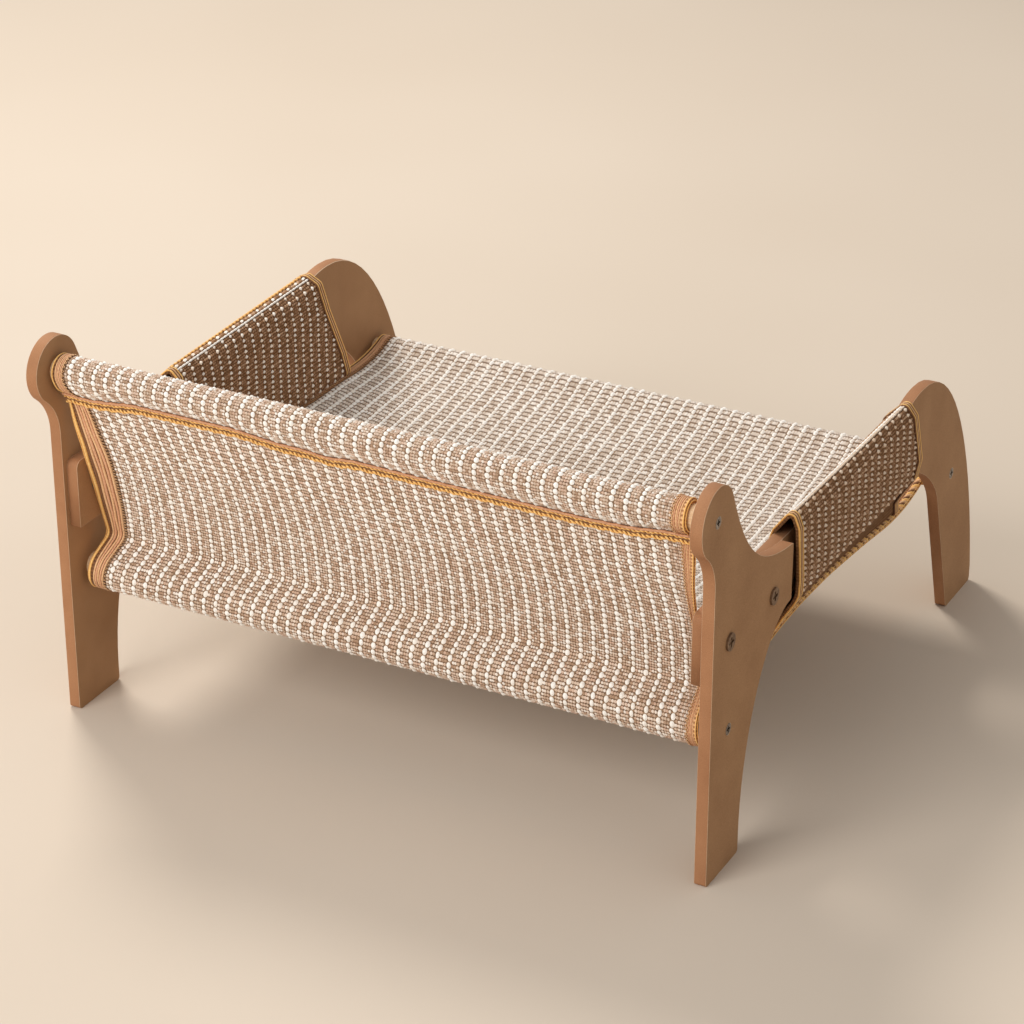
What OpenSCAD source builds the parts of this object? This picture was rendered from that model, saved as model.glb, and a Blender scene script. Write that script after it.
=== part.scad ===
// Raised pet lounger: two bolted board frames, three round rods and a woven sling.
// X runs along the rods, Y from the backrest to the front, Z up from the floor.
// Outlines are drawn in (y, z) from the back edge of the posts, then centred on the origin.

/* [Frame] */
// Width across the outer faces of the boards
frame_w = 530; // [440:5:640]
// Depth from the back edge of the posts to the toes of the front legs
frame_d = 513; // [490:1:560]
// Thickness of the post and leg boards
board_t = 9; // [8:0.5:14]
// Corner radius at the soles of the feet
foot_r = 3; // [1:0.5:6]
// Height of the flat underside of the stub arms
stub_low_z = 164; // [160:0.5:170]
// Corner radius at the cut ends of the stub arms
stub_r = 1.5; // [0.5:0.25:4]

/* [Back posts] */
// Width of a post at the floor
post_foot_w = 53; // [40:1:62]
// Height at which the front edge of a post starts to sweep forward
post_straight_h = 15; // [8:1:30]
// Pull of the sweep where it leaves the leg
post_leg_pull = 78; // [60:1:95]
// Pull of the sweep where it meets the stub arm
post_arm_pull = 40; // [25:1:50]
// Reach of the stub arm from the back edge
post_stub_reach = 132; // [122:1:150]
// Height of the stub arm's top at its cut end
post_stub_top_z = 208; // [196:0.5:214]
// Radius of the round top
bulb_r = 25.3; // [20:0.1:30]
// Radius of the hollow neck behind the round top
neck_r = 40; // [25:1:60]
// Angle at which the saddle leaves the round top
saddle_angle = 23; // [10:1:40]
// Pull of the saddle at the round top
saddle_top_pull = 69; // [50:1:75]
// Pull of the saddle at the stub arm
saddle_end_pull = 52; // [30:1:65]
// Slope of the saddle at the stub arm's end
saddle_end_slope = 6; // [0:1:12]

/* [Front legs] */
// Width of a front leg at the floor
front_foot_w = 53; // [40:1:64]
// Lean of a front leg's inner edge
leg_lean = 18; // [10:1:20]
// Height at which the inner edge turns into the arch
arch_start_z = 111; // [95:1:120]
// Pull of the arch at the leg
arch_leg_pull = 25; // [15:1:32]
// Pull of the arch at the stub arm
arch_arm_pull = 30; // [15:1:45]
// Distance from the toe back to the end of the arch
arch_back = 168; // [155:1:180]
// Distance from the toe back to the crown of the head
head_back = 137; // [125:1:145]
// Height of the crown of the head
head_z = 226; // [220:1:240]
// Pull of the front curve at the crown
head_pull = 74; // [55:1:85]
// Pull of the front curve at the toe
toe_pull = 110; // [90:1:125]
// Lean of the front curve at the toe
toe_lean = 8; // [2:1:12]
// Height of the upright part of the toe
toe_straight_h = 14; // [8:1:24]
// Distance from the toe back to the start of the rising shoulder
shoulder_back = 213; // [200:1:225]
// Pull of the shoulder at both of its ends
shoulder_pull = 40; // [25:1:45]
// Distance from the toe back to the cut end of the stub arm
front_stub_back = 273; // [260:1:290]

/* [Side rails] */
// Thickness of a side rail
rail_t = 9; // [8:0.5:14]
// Height of a side rail
rail_h = 53; // [44:0.5:53]
// Height of a rail's underside
rail_z = 155; // [150:0.5:160]
// Distance of a rail's back end from the back edge of the posts
rail_back_y = 4.5; // [2:0.5:12]
// Distance from the toe back to a rail's front end
rail_front_back = 168; // [163:1:180]
// Radius of the eased top corner at a rail's back end
rail_corner_r = 6; // [2:0.5:10]

/* [Rods] */
// Diameter of the round rods
rod_d = 18; // [14:0.5:22]
// Distance of the top rod from the back edge of the posts
top_rod_y = 1.5; // [0:0.5:6]
// Height of the top rod
top_rod_z = 282; // [272:1:300]
// Distance of the lower rod from the back edge of the posts
lower_rod_y = 29.5; // [26:0.5:34]
// Height of the lower rod
lower_rod_z = 112; // [104:1:118]
// Distance from the toe back to the front rod
front_rod_back = 61; // [56:0.5:66]
// Height of the front rod
front_rod_z = 123; // [118:0.5:128]

/* [Sling] */
// Thickness of the woven cloth
cloth_t = 3; // [2:0.25:4]
// Slack between a rod and the pocket sewn round it
pocket_gap = 0.4; // [0.3:0.05:0.9]
// Distance from a rod pocket to its seam
seam_len = 16; // [14:0.5:24]
// Gap between the two layers at a pocket seam
flap_gap = 0.4; // [0.3:0.05:1]
// Gap between the sling's side hems and the rails
sling_gap = 3; // [1:0.25:8]
// Gap between the sling's side hems and the boards, above and below the rails
hem_gap = 5; // [2:0.25:10]
// Height above the rails over which a hem narrows to pass between them
waist_rise = 48; // [30:1:60]
// Height below the rails over which a hem widens again
waist_fall = 22; // [14:1:30]
// Width of a side hem between the rails
hem_w = 13; // [8:0.5:20]
// Thickness of a side hem
hem_t = 4.4; // [3:0.1:5]
// Radius of the fold above the lower rod
fold_r = 8; // [5:0.5:9]
// Distance of the fold's centre behind the lower rod
fold_back = 1; // [0:0.25:4]
// Height of the fold's centre above the lower rod
fold_up = 27; // [26:0.5:34]
// Slack of the cloth as it turns under the lower rod
wrap_slack = 4.5; // [1:0.25:5]
// Rise of the seat as it leaves the lower rod
seat_back_angle = 29; // [20:1:34]
// Pull of the seat's curve at the lower rod
seat_back_pull = 148; // [120:1:165]
// Rise of the seat as it reaches the front rod
seat_front_angle = 27; // [20:1:32]
// Pull of the seat's curve at the front rod
seat_front_pull = 112; // [90:1:130]
// Extra sag of the seat along its middle
seat_dip = 32; // [0:1:40]
// Diameter of one cord of the pocket stitching
stitch_d = 2.2; // [1.4:0.1:3]

/* [Sleeves] */
// Thickness of the sleeve cloth
sleeve_t = 2.4; // [1.5:0.1:3]
// Play between a sleeve and what it covers
sleeve_gap = 0.3; // [0.2:0.05:0.8]
// Gap from the post's stub arm to the sleeve's back end
sleeve_stub_gap = 7; // [3:0.5:14]
// Distance from the toe back to the sleeve's top front corner
sleeve_front_back = 162; // [158:1:170]
// Slant of the sleeve's front end
sleeve_slant = 19; // [10:1:20]
// Rounding of the sleeve's top edges
sleeve_top_r = 7; // [4:0.5:9]
// Rounding of the sleeve's lower outer edge
sleeve_low_r = 5; // [3:0.5:8]
// Rounding of the sleeve's lowest edge
sleeve_foot_r = 2.5; // [2:0.25:4]
// Drop of the sleeve's lower outer edge below the stub arms
sleeve_drop = 6; // [3:0.5:9]
// Distance of the sleeve's lowest edge in from its inner face
sleeve_foot_in = 4; // [2:0.5:8]
// Width of the braided binding at a sleeve's ends
binding_w = 7; // [4:0.5:10]
// How far the binding stands out from the cloth
binding_proud = 1.2; // [0.6:0.1:2]
// Diameter of the braided seam along a sleeve's top
sleeve_seam_d = 3; // [2:0.25:4]

/* [Fasteners] */
// Diameter of the rail bolts
bolt_d = 6; // [4:0.5:8]
// Diameter of a rail bolt's head
bolt_head_d = 13; // [10:0.5:18]
// Height of a rail bolt's head
bolt_head_h = 1.5; // [1:0.1:3]
// Distance of the rearmost bolt from the back edge of the posts
back_bolt_y = 26.5; // [20:0.5:34]
// Spacing of the two bolts through a back post
back_bolt_pitch = 73; // [60:0.5:80]
// Distance of the foremost bolt from the rail's front end
front_bolt_inset = 20; // [12:0.5:26]
// Spacing of the two bolts through a front leg
front_bolt_pitch = 63; // [40:0.5:66]
// Outer diameter of the threaded inserts in the rails
insert_d = 9; // [8.5:0.25:12]
// Diameter of the rod screws
screw_d = 4; // [3:0.25:5]
// Diameter of a rod screw's countersunk head
screw_head_d = 8.6; // [7:0.1:10]
// Length of the rod screws
screw_len = 40; // [30:1:60]
// Depth of the cross recess in the screw and bolt heads
recess_depth = 1; // [0.5:0.1:1.4]

/* [Hidden] */

LEFT = -1;
RIGHT = 1;
board_color = "#a88b6c";
rod_color = "#dcc096";
cloth_color = "#d8cab8";
braid_color = "#bb8441";
bolt_color = "#5d544b";
screw_color = "#8c8a86";

// Named clearances and counts
overrun = 1;
bolt_play = 0.3;
thread_play = 0.05;
stitch_gap = 0.1;
corner_steps = 6;
curve_steps = 18;
turn_steps = 12;
fold_steps = 6;
seat_steps = 14;
sheet_steps = 8;
round_fn = 64;
bore_fn = 48;

// Places worked out from the driving sizes
rod_r = rod_d / 2;
rod_len = frame_w - 2 * board_t;
board_in_x = frame_w / 2 - board_t;
rail_in_x = board_in_x - rail_t;
rail_top_z = rail_z + rail_h;
rail_mid_z = rail_z + rail_h / 2;
rail_front_y = frame_d - rail_front_back;
head_y = frame_d - head_back;
front_rod_y = frame_d - front_rod_back;
middle_y = (frame_d + top_rod_y - bulb_r) / 2;
back_bolt_ys = [back_bolt_y, back_bolt_y + back_bolt_pitch];
front_bolt_ys = [rail_front_y - front_bolt_inset, rail_front_y - front_bolt_inset - front_bolt_pitch];
bolt_len = board_t + rail_t - thread_play;
screw_head_h = (screw_head_d - screw_d) / 2;
screw_tip_share = 0.15;
recess_width_share = 0.16;
recess_length_share = 0.58;

top_rod_at = [top_rod_y, top_rod_z];
lower_rod_at = [lower_rod_y, lower_rod_z];
front_rod_at = [front_rod_y, front_rod_z];

// Plane geometry
function unit(v) = v / norm(v);
function dir(a) = [cos(a), sin(a)];
function right_of(a) = [sin(a), -cos(a)];
function whole_turn(a) = a - 360 * floor(a / 360);
function signed_turn(a) = whole_turn(a + 180) - 180;
function reversed(list) = [for (i = [len(list) - 1 : -1 : 0]) list[i]];
function arc(center, r, from, to, steps) =
  [for (i = [0 : steps]) center + r * dir(from + (to - from) * i / steps)];
function bezier(a, b, c, d, steps) =
  [for (i = [0 : steps]) let (t = i / steps, s = 1 - t)
    s * s * s * a + 3 * s * s * t * b + 3 * s * t * t * c + t * t * t * d];

// Rounded corner at b on the way from a to c
function corner(a, b, c, r, steps) =
  let (
    u = unit(a - b),
    w = unit(c - b),
    half = acos(u * w) / 2,
    center = b + unit(u + w) * r / sin(half),
    first = b + u * r / tan(half) - center,
    last = b + w * r / tan(half) - center,
    start = atan2(first[1], first[0]),
    sweep = signed_turn(atan2(last[1], last[0]) - start)
  )
  arc(center, r, start, start + sweep, steps);

// Heading of the straight run from one turn to the next. A turn has a centre and a signed
// radius, positive where the path turns left and zero for a plain point.
function heading(from, from_r, to, to_r) =
  let (gap = to - from) atan2(gap[1], gap[0]) + asin((from_r - to_r) / norm(gap));
function turn(center, signed_r, from, to, steps) =
  let (sweep = signed_r > 0 ? whole_turn(to - from) : -whole_turn(from - to))
  [for (i = [0 : steps]) center + signed_r * right_of(from + sweep * i / steps)];

// Left-hand normals along an open path, and the outline of a band laid along it
function normals(path) =
  let (last = len(path) - 1)
  [for (i = [0 : last])
    let (t = unit(path[min(i + 1, last)] - path[max(i - 1, 0)])) [-t[1], t[0]]];
function shifted(path, distance) =
  let (n = normals(path)) [for (i = [0 : len(path) - 1]) path[i] + distance * n[i]];
function band(path, thickness) =
  concat(shifted(path, thickness / 2), reversed(shifted(path, -thickness / 2)));

// Closed ring moved outward by a distance (rings here run clockwise)
function ring_shifted(ring, distance) =
  let (n = len(ring))
  [for (i = [0 : n - 1])
    let (t = unit(ring[(i + 1) % n] - ring[(i + n - 1) % n])) ring[i] + distance * [-t[1], t[0]]];

// Outline of a back post
neck_drop = sqrt(pow(neck_r + bulb_r, 2) - pow(neck_r + top_rod_y, 2));
neck_center = [-neck_r, top_rod_z - neck_drop];
neck_angle = atan2(neck_drop, neck_r + top_rod_y);
saddle_top = top_rod_at + bulb_r * dir(saddle_angle);
post_stub_top = [post_stub_reach, post_stub_top_z];
post_stub_low = [post_stub_reach, stub_low_z];
post_sweep = bezier(
  [post_foot_w, post_straight_h],
  [post_foot_w, post_straight_h + post_leg_pull],
  post_stub_low - [post_arm_pull, 0],
  post_stub_low,
  curve_steps
);
saddle = bezier(
  post_stub_top,
  post_stub_top - saddle_end_pull * dir(-saddle_end_slope),
  saddle_top + saddle_top_pull * right_of(saddle_angle),
  saddle_top,
  curve_steps
);
post_outline = concat(
  arc([foot_r, foot_r], foot_r, 180, 270, corner_steps),
  arc([post_foot_w - foot_r, foot_r], foot_r, 270, 360, corner_steps),
  [for (i = [0 : curve_steps - 1]) post_sweep[i]],
  corner(post_sweep[curve_steps - 1], post_stub_low, post_stub_top, stub_r, corner_steps),
  corner(post_stub_low, post_stub_top, saddle[1], stub_r, corner_steps),
  [for (i = [1 : curve_steps - 1]) saddle[i]],
  arc(top_rod_at, bulb_r, saddle_angle, 180 + neck_angle, 2 * curve_steps),
  arc(neck_center, neck_r, neck_angle, 0, curve_steps)
);

// Outline of a front leg
toe = [frame_d, toe_straight_h];
crown = [head_y, head_z];
heel_y = frame_d - front_foot_w;
arch_start = [heel_y - arch_start_z * tan(leg_lean), arch_start_z];
arch_end = [frame_d - arch_back, stub_low_z];
front_stub_low = [frame_d - front_stub_back, stub_low_z];
front_stub_top = [frame_d - front_stub_back, rail_top_z];
shoulder = [frame_d - shoulder_back, rail_top_z];
front_curve = bezier(
  toe,
  toe + toe_pull * dir(90 + toe_lean),
  crown + [head_pull, 0],
  crown,
  curve_steps
);
shoulder_curve = bezier(
  crown,
  crown - [shoulder_pull, 0],
  shoulder + [shoulder_pull, 0],
  shoulder,
  curve_steps
);
arch_curve = bezier(
  arch_end,
  arch_end + [arch_arm_pull, 0],
  arch_start + arch_leg_pull * dir(90 + leg_lean),
  arch_start,
  curve_steps
);
front_outline = concat(
  corner(arch_start, [heel_y, 0], [frame_d, 0], foot_r, corner_steps),
  corner([heel_y, 0], [frame_d, 0], toe, foot_r, corner_steps),
  front_curve,
  [for (i = [1 : curve_steps]) shoulder_curve[i]],
  corner(shoulder, front_stub_top, front_stub_low, stub_r, corner_steps),
  corner(front_stub_top, front_stub_low, arch_end, stub_r, corner_steps),
  arch_curve
);

// Path of the sling from the top pocket's loose end to the front pocket's loose end
pocket_r = rod_r + pocket_gap + cloth_t / 2;
wrap_r = rod_r + wrap_slack + cloth_t / 2;
layer_pitch = cloth_t + flap_gap;
fold_at = lower_rod_at + [-fold_back, fold_up];
back_heading = heading(top_rod_at, pocket_r, fold_at, -fold_r);
tuck_heading = heading(fold_at, -fold_r, lower_rod_at, wrap_r);
back_start = top_rod_at + pocket_r * right_of(back_heading);
seat_start = lower_rod_at + wrap_r * right_of(seat_back_angle);
seat_end = front_rod_at - pocket_r * right_of(seat_front_angle);
top_seam_at = back_start + seam_len * dir(back_heading);
front_seam_at = seat_end - seam_len * dir(seat_front_angle);
top_flap_end = top_seam_at - layer_pitch * right_of(back_heading);
front_flap_end = front_seam_at + layer_pitch * right_of(seat_front_angle);
top_flap_heading = heading(top_flap_end, 0, top_rod_at, pocket_r);
front_flap_heading = heading(front_rod_at, -pocket_r, front_flap_end, 0);
back_path = concat(
  turn(top_rod_at, pocket_r, top_flap_heading, back_heading, turn_steps),
  turn(fold_at, -fold_r, back_heading, tuck_heading, fold_steps),
  turn(lower_rod_at, wrap_r, tuck_heading, seat_back_angle, turn_steps)
);
seat_path = bezier(
  seat_start,
  seat_start + seat_back_pull * dir(seat_back_angle),
  seat_end - seat_front_pull * dir(seat_front_angle),
  seat_end,
  seat_steps
);
seat_middle = [for (i = [1 : seat_steps - 1]) seat_path[i]];
front_path = turn(front_rod_at, -pocket_r, seat_front_angle, front_flap_heading, turn_steps);
hem_path = concat(back_path, seat_middle, front_path);
sling_path = concat([top_flap_end], hem_path, [front_flap_end]);

// Share of the extra sag along the path: none at the rods, most near the middle of the seat
dip_end_share = 0.9;
function dip_wave(t) = sin(180 * t / dip_end_share);
function dip_share(t) =
  t > dip_end_share ? 0 : t > dip_end_share / 2 ? pow(dip_wave(t), 2) : dip_wave(t);
sling_dips = concat(
  [for (i = [0 : len(back_path)]) 0],
  [for (i = [1 : seat_steps - 1]) dip_share(i / seat_steps)],
  [for (i = [0 : len(front_path)]) 0]
);

// Outline, in (x, z), of what is cut from a hem so that it passes between the rails
waist_x = rail_in_x - sling_gap;
hem_out_x = board_in_x - hem_gap;
sheet_half_w = waist_x - hem_w;
waist_high = [hem_out_x, rail_top_z + sling_gap + waist_rise];
waist_top = [waist_x, rail_top_z + sling_gap];
waist_bottom = [waist_x, rail_z - sling_gap];
waist_low = [hem_out_x, rail_z - sling_gap - waist_fall];
waist_pull_share = 0.5;
rise_pull = [0, waist_rise * waist_pull_share];
fall_pull = [0, waist_fall * waist_pull_share];
waist_outline = concat(
  bezier(waist_high, waist_high - rise_pull, waist_top + rise_pull, waist_top, corner_steps),
  bezier(waist_bottom, waist_bottom - fall_pull, waist_low + fall_pull, waist_low, corner_steps),
  [waist_low + [overrun, 0], waist_high + [overrun, 0]]
);

// Cross-section of a sleeve, in (x, z) on the right-hand side
sleeve_front_y = frame_d - sleeve_front_back;
sleeve_back_y = post_stub_reach + sleeve_stub_gap;
shoulder_high_z = max([for (p = shoulder_curve) if (p[0] < sleeve_front_y + sleeve_gap) p[1]]);
sleeve_top_z = shoulder_high_z + sleeve_gap + sleeve_t / 2;
sleeve_in_x = rail_in_x - sleeve_gap - sleeve_t / 2;
sleeve_out_x = frame_w / 2 + bolt_head_h + sleeve_gap + sleeve_t / 2;
sleeve_reach_y = sleeve_front_y + (sleeve_top_z - lower_rod_z) * tan(sleeve_slant);
hem_high_z = max([for (p = seat_path) if (p[0] < sleeve_reach_y) p[1]]);
sleeve_low_z = stub_low_z - sleeve_drop;
sleeve_foot_z = hem_high_z + (hem_t + sleeve_t) / 2 + binding_proud + sleeve_gap;
sleeve_foot = [sleeve_in_x - sleeve_foot_in, sleeve_foot_z];
sleeve_in_top = [sleeve_in_x, sleeve_top_z];
sleeve_out_top = [sleeve_out_x, sleeve_top_z];
sleeve_out_low = [sleeve_out_x, sleeve_low_z];
sleeve_ring = concat(
  corner(sleeve_foot, sleeve_in_top, sleeve_out_top, sleeve_top_r, corner_steps),
  corner(sleeve_in_top, sleeve_out_top, sleeve_out_low, sleeve_top_r, corner_steps),
  corner(sleeve_out_top, sleeve_out_low, sleeve_foot, sleeve_low_r, corner_steps),
  corner(sleeve_out_low, sleeve_foot, sleeve_in_top, sleeve_foot_r, corner_steps)
);

// Placing
module in_frame() translate([0, -middle_y, 0]) children();
module on_side(side) mirror([side < 0 ? 1 : 0, 0, 0]) in_frame() children();
module along_x(at, x) translate([x, at[0], at[1]]) rotate([0, 90, 0]) children();

// Solid that runs along y from the back edge of the posts, with an outline drawn in (x, z)
module along_y(length)
  mirror([0, 1, 0]) rotate([90, 0, 0]) linear_extrude(height = length) children();

// Solid between two x positions with an outline drawn in (y, z)
module slab(outline, from_x, to_x)
  translate([from_x, 0, 0]) rotate([90, 0, 90]) linear_extrude(height = to_x - from_x) polygon(outline);

// Round hole through the boards along x
module cross_bore(at, d, from_x, to_x)
  along_x(at, from_x) cylinder(h = to_x - from_x, d = d, $fn = bore_fn);

// Cross recess sunk into a head whose outer face is at the origin, facing +Z
module cross_recess(head_d) {
  recess_l = head_d * recess_length_share;
  recess_w = head_d * recess_width_share;
  for (a = [0, 90])
    rotate(a)
      translate([-recess_l / 2, -recess_w / 2, -recess_depth])
        cube([recess_l, recess_w, recess_depth + overrun]);
}

// Hole for a rod screw with its countersink, in a board's outer face
module screw_hole(at) {
  cross_bore(at, screw_d + 2 * bolt_play, board_in_x - overrun, frame_w / 2 + overrun);
  along_x(at, frame_w / 2 - screw_head_h - bolt_play)
    cylinder(
      h = screw_head_h + bolt_play,
      d1 = screw_d,
      d2 = screw_head_d + 2 * bolt_play,
      $fn = bore_fn
    );
}

module bolt_hole(y)
  cross_bore([y, rail_mid_z], bolt_d + 2 * bolt_play, board_in_x - overrun, frame_w / 2 + overrun);

module back_post(side)
  color(board_color)
    on_side(side)
      difference() {
        slab(post_outline, board_in_x, frame_w / 2);
        screw_hole(top_rod_at);
        screw_hole(lower_rod_at);
        for (y = back_bolt_ys)
          bolt_hole(y);
      }

module front_leg(side)
  color(board_color)
    on_side(side)
      difference() {
        slab(front_outline, board_in_x, frame_w / 2);
        screw_hole(front_rod_at);
        for (y = front_bolt_ys)
          bolt_hole(y);
      }

module side_rail(side) {
  low_back = [rail_back_y, rail_z];
  high_back = [rail_back_y, rail_top_z];
  high_front = [rail_front_y, rail_top_z];
  outline = concat(
    [low_back, [rail_front_y, rail_z], high_front],
    corner(high_front, high_back, low_back, rail_corner_r, corner_steps)
  );
  color(board_color)
    on_side(side)
      difference() {
        slab(outline, rail_in_x, board_in_x);
        for (y = concat(back_bolt_ys, front_bolt_ys))
          cross_bore(
            [y, rail_mid_z],
            insert_d + 2 * thread_play,
            rail_in_x - overrun,
            board_in_x + overrun
          );
      }
}

// Round rod with a pilot hole for its screw in each end
module rod(at) {
  pilot_depth = screw_len - board_t + overrun;
  color(rod_color)
    in_frame()
      difference() {
        along_x(at, -rod_len / 2) cylinder(h = rod_len, d = rod_d, $fn = round_fn);
        cross_bore(at, screw_d + 2 * thread_play, rod_len / 2 - pilot_depth, rod_len / 2 + overrun);
        cross_bore(at, screw_d + 2 * thread_play, -rod_len / 2 - overrun, pilot_depth - rod_len / 2);
      }
}

// Sheet of cloth across the sling, from its path and the share of the sag at each point
module sling() {
  count = len(sling_path);
  stations = sheet_steps + 1;
  faces_of_cloth = [cloth_t / 2, -cloth_t / 2];
  points = [
    for (offset = faces_of_cloth)
      let (side = shifted(sling_path, offset))
      for (j = [0 : sheet_steps])
        let (share = 2 * j / sheet_steps - 1)
        for (i = [0 : count - 1])
          [share * sheet_half_w, side[i][0], side[i][1] - seat_dip * sling_dips[i] * (1 - share * share)]
  ];
  function at(face, j, i) = (face * stations + j) * count + i;
  function quad(a, b, c, d) = [[a, b, c], [a, c, d]];
  faces = concat(
    [for (j = [0 : sheet_steps - 1]) for (i = [0 : count - 2])
      for (f = quad(at(0, j, i), at(0, j, i + 1), at(0, j + 1, i + 1), at(0, j + 1, i))) f],
    [for (j = [0 : sheet_steps - 1]) for (i = [0 : count - 2])
      for (f = quad(at(1, j, i), at(1, j + 1, i), at(1, j + 1, i + 1), at(1, j, i + 1))) f],
    [for (i = [0 : count - 2])
      for (f = quad(at(0, 0, i), at(1, 0, i), at(1, 0, i + 1), at(0, 0, i + 1))) f],
    [for (i = [0 : count - 2])
      for (f = quad(at(0, sheet_steps, i), at(0, sheet_steps, i + 1),
        at(1, sheet_steps, i + 1), at(1, sheet_steps, i))) f],
    [for (j = [0 : sheet_steps - 1])
      for (f = quad(at(0, j, 0), at(0, j + 1, 0), at(1, j + 1, 0), at(1, j, 0))) f],
    [for (j = [0 : sheet_steps - 1])
      for (f = quad(at(0, j, count - 1), at(1, j, count - 1),
        at(1, j + 1, count - 1), at(0, j + 1, count - 1))) f]
  );
  color(cloth_color) in_frame() polyhedron(points, faces);
}

// Side hem, narrowed where it passes between the rails
module sling_hem(side)
  color(braid_color)
    on_side(side)
      difference() {
        slab(band(hem_path, hem_t), sheet_half_w, hem_out_x);
        translate([0, -frame_d / 2, 0])
          along_y(frame_d / 2 + post_stub_reach) polygon(waist_outline);
      }

// Two cords of stitching laid side by side on the cloth, across the sling
module pocket_seam(at, run, out) {
  beside = (stitch_d + stitch_gap) / 2 * run;
  proud = (stitch_d / 2 + stitch_gap) * out;
  color(braid_color)
    in_frame()
      for (step = [-1, 1])
        along_x(at + step * beside + proud, -sheet_half_w)
          cylinder(h = 2 * sheet_half_w, d = stitch_d, $fn = round_fn);
}

module top_pocket_seam() {
  out = right_of(back_heading);
  pocket_seam(top_seam_at + cloth_t / 2 * out, dir(back_heading), out);
}

module front_pocket_seam() {
  out = right_of(front_flap_heading + 180);
  run = dir(front_flap_heading);
  pocket_seam(front_flap_end - (stitch_d + stitch_gap) * run - cloth_t / 2 * out, run, -out);
}

// Ring of sleeve cloth along y, square at both ends
module sleeve_tube(from_y, length, proud)
  translate([0, from_y, 0])
    along_y(length)
      difference() {
        polygon(ring_shifted(sleeve_ring, sleeve_t / 2 + proud));
        polygon(ring_shifted(sleeve_ring, -sleeve_t / 2));
      }

// Block whose back face has the slant of a sleeve's front end
module slanted_block(top_y, depth) {
  cut_h = sleeve_top_z + overrun;
  translate([0, top_y, sleeve_top_z])
    rotate([sleeve_slant, 0, 0])
      translate([0, 0, -cut_h])
        cube([frame_w, depth, 2 * cut_h]);
}

module sleeve(side) {
  first_y = sleeve_back_y + binding_w;
  color(cloth_color)
    on_side(side)
      difference() {
        sleeve_tube(first_y, sleeve_reach_y - first_y, 0);
        slanted_block(sleeve_front_y - binding_w, frame_d);
      }
}

module sleeve_back_binding(side)
  color(braid_color) on_side(side) sleeve_tube(sleeve_back_y, binding_w, binding_proud);

module sleeve_front_binding(side)
  color(braid_color)
    on_side(side)
      intersection() {
        sleeve_tube(sleeve_back_y, sleeve_reach_y + overrun - sleeve_back_y, binding_proud);
        slanted_block(sleeve_front_y - binding_w, binding_w * cos(sleeve_slant));
      }

// Braided closing seam on the edge of a sleeve's top that faces left
module sleeve_seam(side) {
  edge_x = side < 0 ? sleeve_out_x - sleeve_top_r : -sleeve_in_x - sleeve_top_r;
  seat_r = sleeve_top_r + sleeve_t / 2 + stitch_gap + sleeve_seam_d / 2;
  seam_at = [-edge_x, sleeve_top_z - sleeve_top_r] + seat_r * dir(135);
  first_y = sleeve_back_y + binding_w;
  color(braid_color)
    in_frame()
      translate([seam_at[0], first_y, seam_at[1]])
        rotate([-90, 0, 0])
          cylinder(h = sleeve_front_y - 2 * binding_w - first_y, d = sleeve_seam_d, $fn = round_fn);
}

// Flat-headed bolts from the outer face of a board into a rail's inserts
module rail_bolts(side, ys)
  color(bolt_color)
    on_side(side)
      for (y = ys)
        along_x([y, rail_mid_z], frame_w / 2)
          difference() {
            union() {
              cylinder(h = bolt_head_h, d = bolt_head_d, $fn = round_fn);
              translate([0, 0, -bolt_len])
                cylinder(h = bolt_len + bolt_head_h / 2, d = bolt_d, $fn = bore_fn);
            }
            translate([0, 0, bolt_head_h]) cross_recess(bolt_head_d);
          }

module rail_inserts(side)
  color(screw_color)
    on_side(side)
      for (y = concat(back_bolt_ys, front_bolt_ys))
        along_x([y, rail_mid_z], rail_in_x)
          difference() {
            cylinder(h = rail_t, d = insert_d, $fn = bore_fn);
            translate([0, 0, -overrun])
              cylinder(h = rail_t + 2 * overrun, d = bolt_d + 2 * thread_play, $fn = bore_fn);
          }

// Countersunk wood screws through both boards into the ends of a rod
module rod_screws(at) {
  tip_l = screw_len * screw_tip_share;
  shank_l = screw_len - tip_l - screw_head_h;
  color(screw_color)
    for (side = [LEFT, RIGHT])
      on_side(side)
        along_x(at, frame_w / 2)
          difference() {
            rotate_extrude($fn = bore_fn)
              polygon([
                [0, 0],
                [screw_head_d / 2, 0],
                [screw_d / 2, -screw_head_h],
                [screw_d / 2, -screw_head_h - shank_l],
                [0, -screw_len]
              ]);
            cross_recess(screw_head_d);
          }
}

back_post(LEFT);  // back_post_left
back_post(RIGHT);  // back_post_right
front_leg(LEFT);  // front_leg_left
front_leg(RIGHT);  // front_leg_right
side_rail(LEFT);  // side_rail_left
side_rail(RIGHT);  // side_rail_right
rod(top_rod_at);  // top_rod
rod(lower_rod_at);  // lower_rod
rod(front_rod_at);  // front_rod
sling();
sling_hem(LEFT);  // sling_hem_left
sling_hem(RIGHT);  // sling_hem_right
top_pocket_seam();
front_pocket_seam();
sleeve(LEFT);  // sleeve_left
sleeve(RIGHT);  // sleeve_right
sleeve_back_binding(LEFT);  // sleeve_back_binding_left
sleeve_back_binding(RIGHT);  // sleeve_back_binding_right
sleeve_front_binding(LEFT);  // sleeve_front_binding_left
sleeve_front_binding(RIGHT);  // sleeve_front_binding_right
sleeve_seam(LEFT);  // sleeve_seam_left
sleeve_seam(RIGHT);  // sleeve_seam_right
rail_bolts(LEFT, back_bolt_ys);  // back_rail_bolts_left
rail_bolts(RIGHT, back_bolt_ys);  // back_rail_bolts_right
rail_bolts(LEFT, front_bolt_ys);  // front_rail_bolts_left
rail_bolts(RIGHT, front_bolt_ys);  // front_rail_bolts_right
rail_inserts(LEFT);  // rail_inserts_left
rail_inserts(RIGHT);  // rail_inserts_right
rod_screws(top_rod_at);  // top_rod_screws
rod_screws(lower_rod_at);  // lower_rod_screws
rod_screws(front_rod_at);  // front_rod_screws
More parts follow.
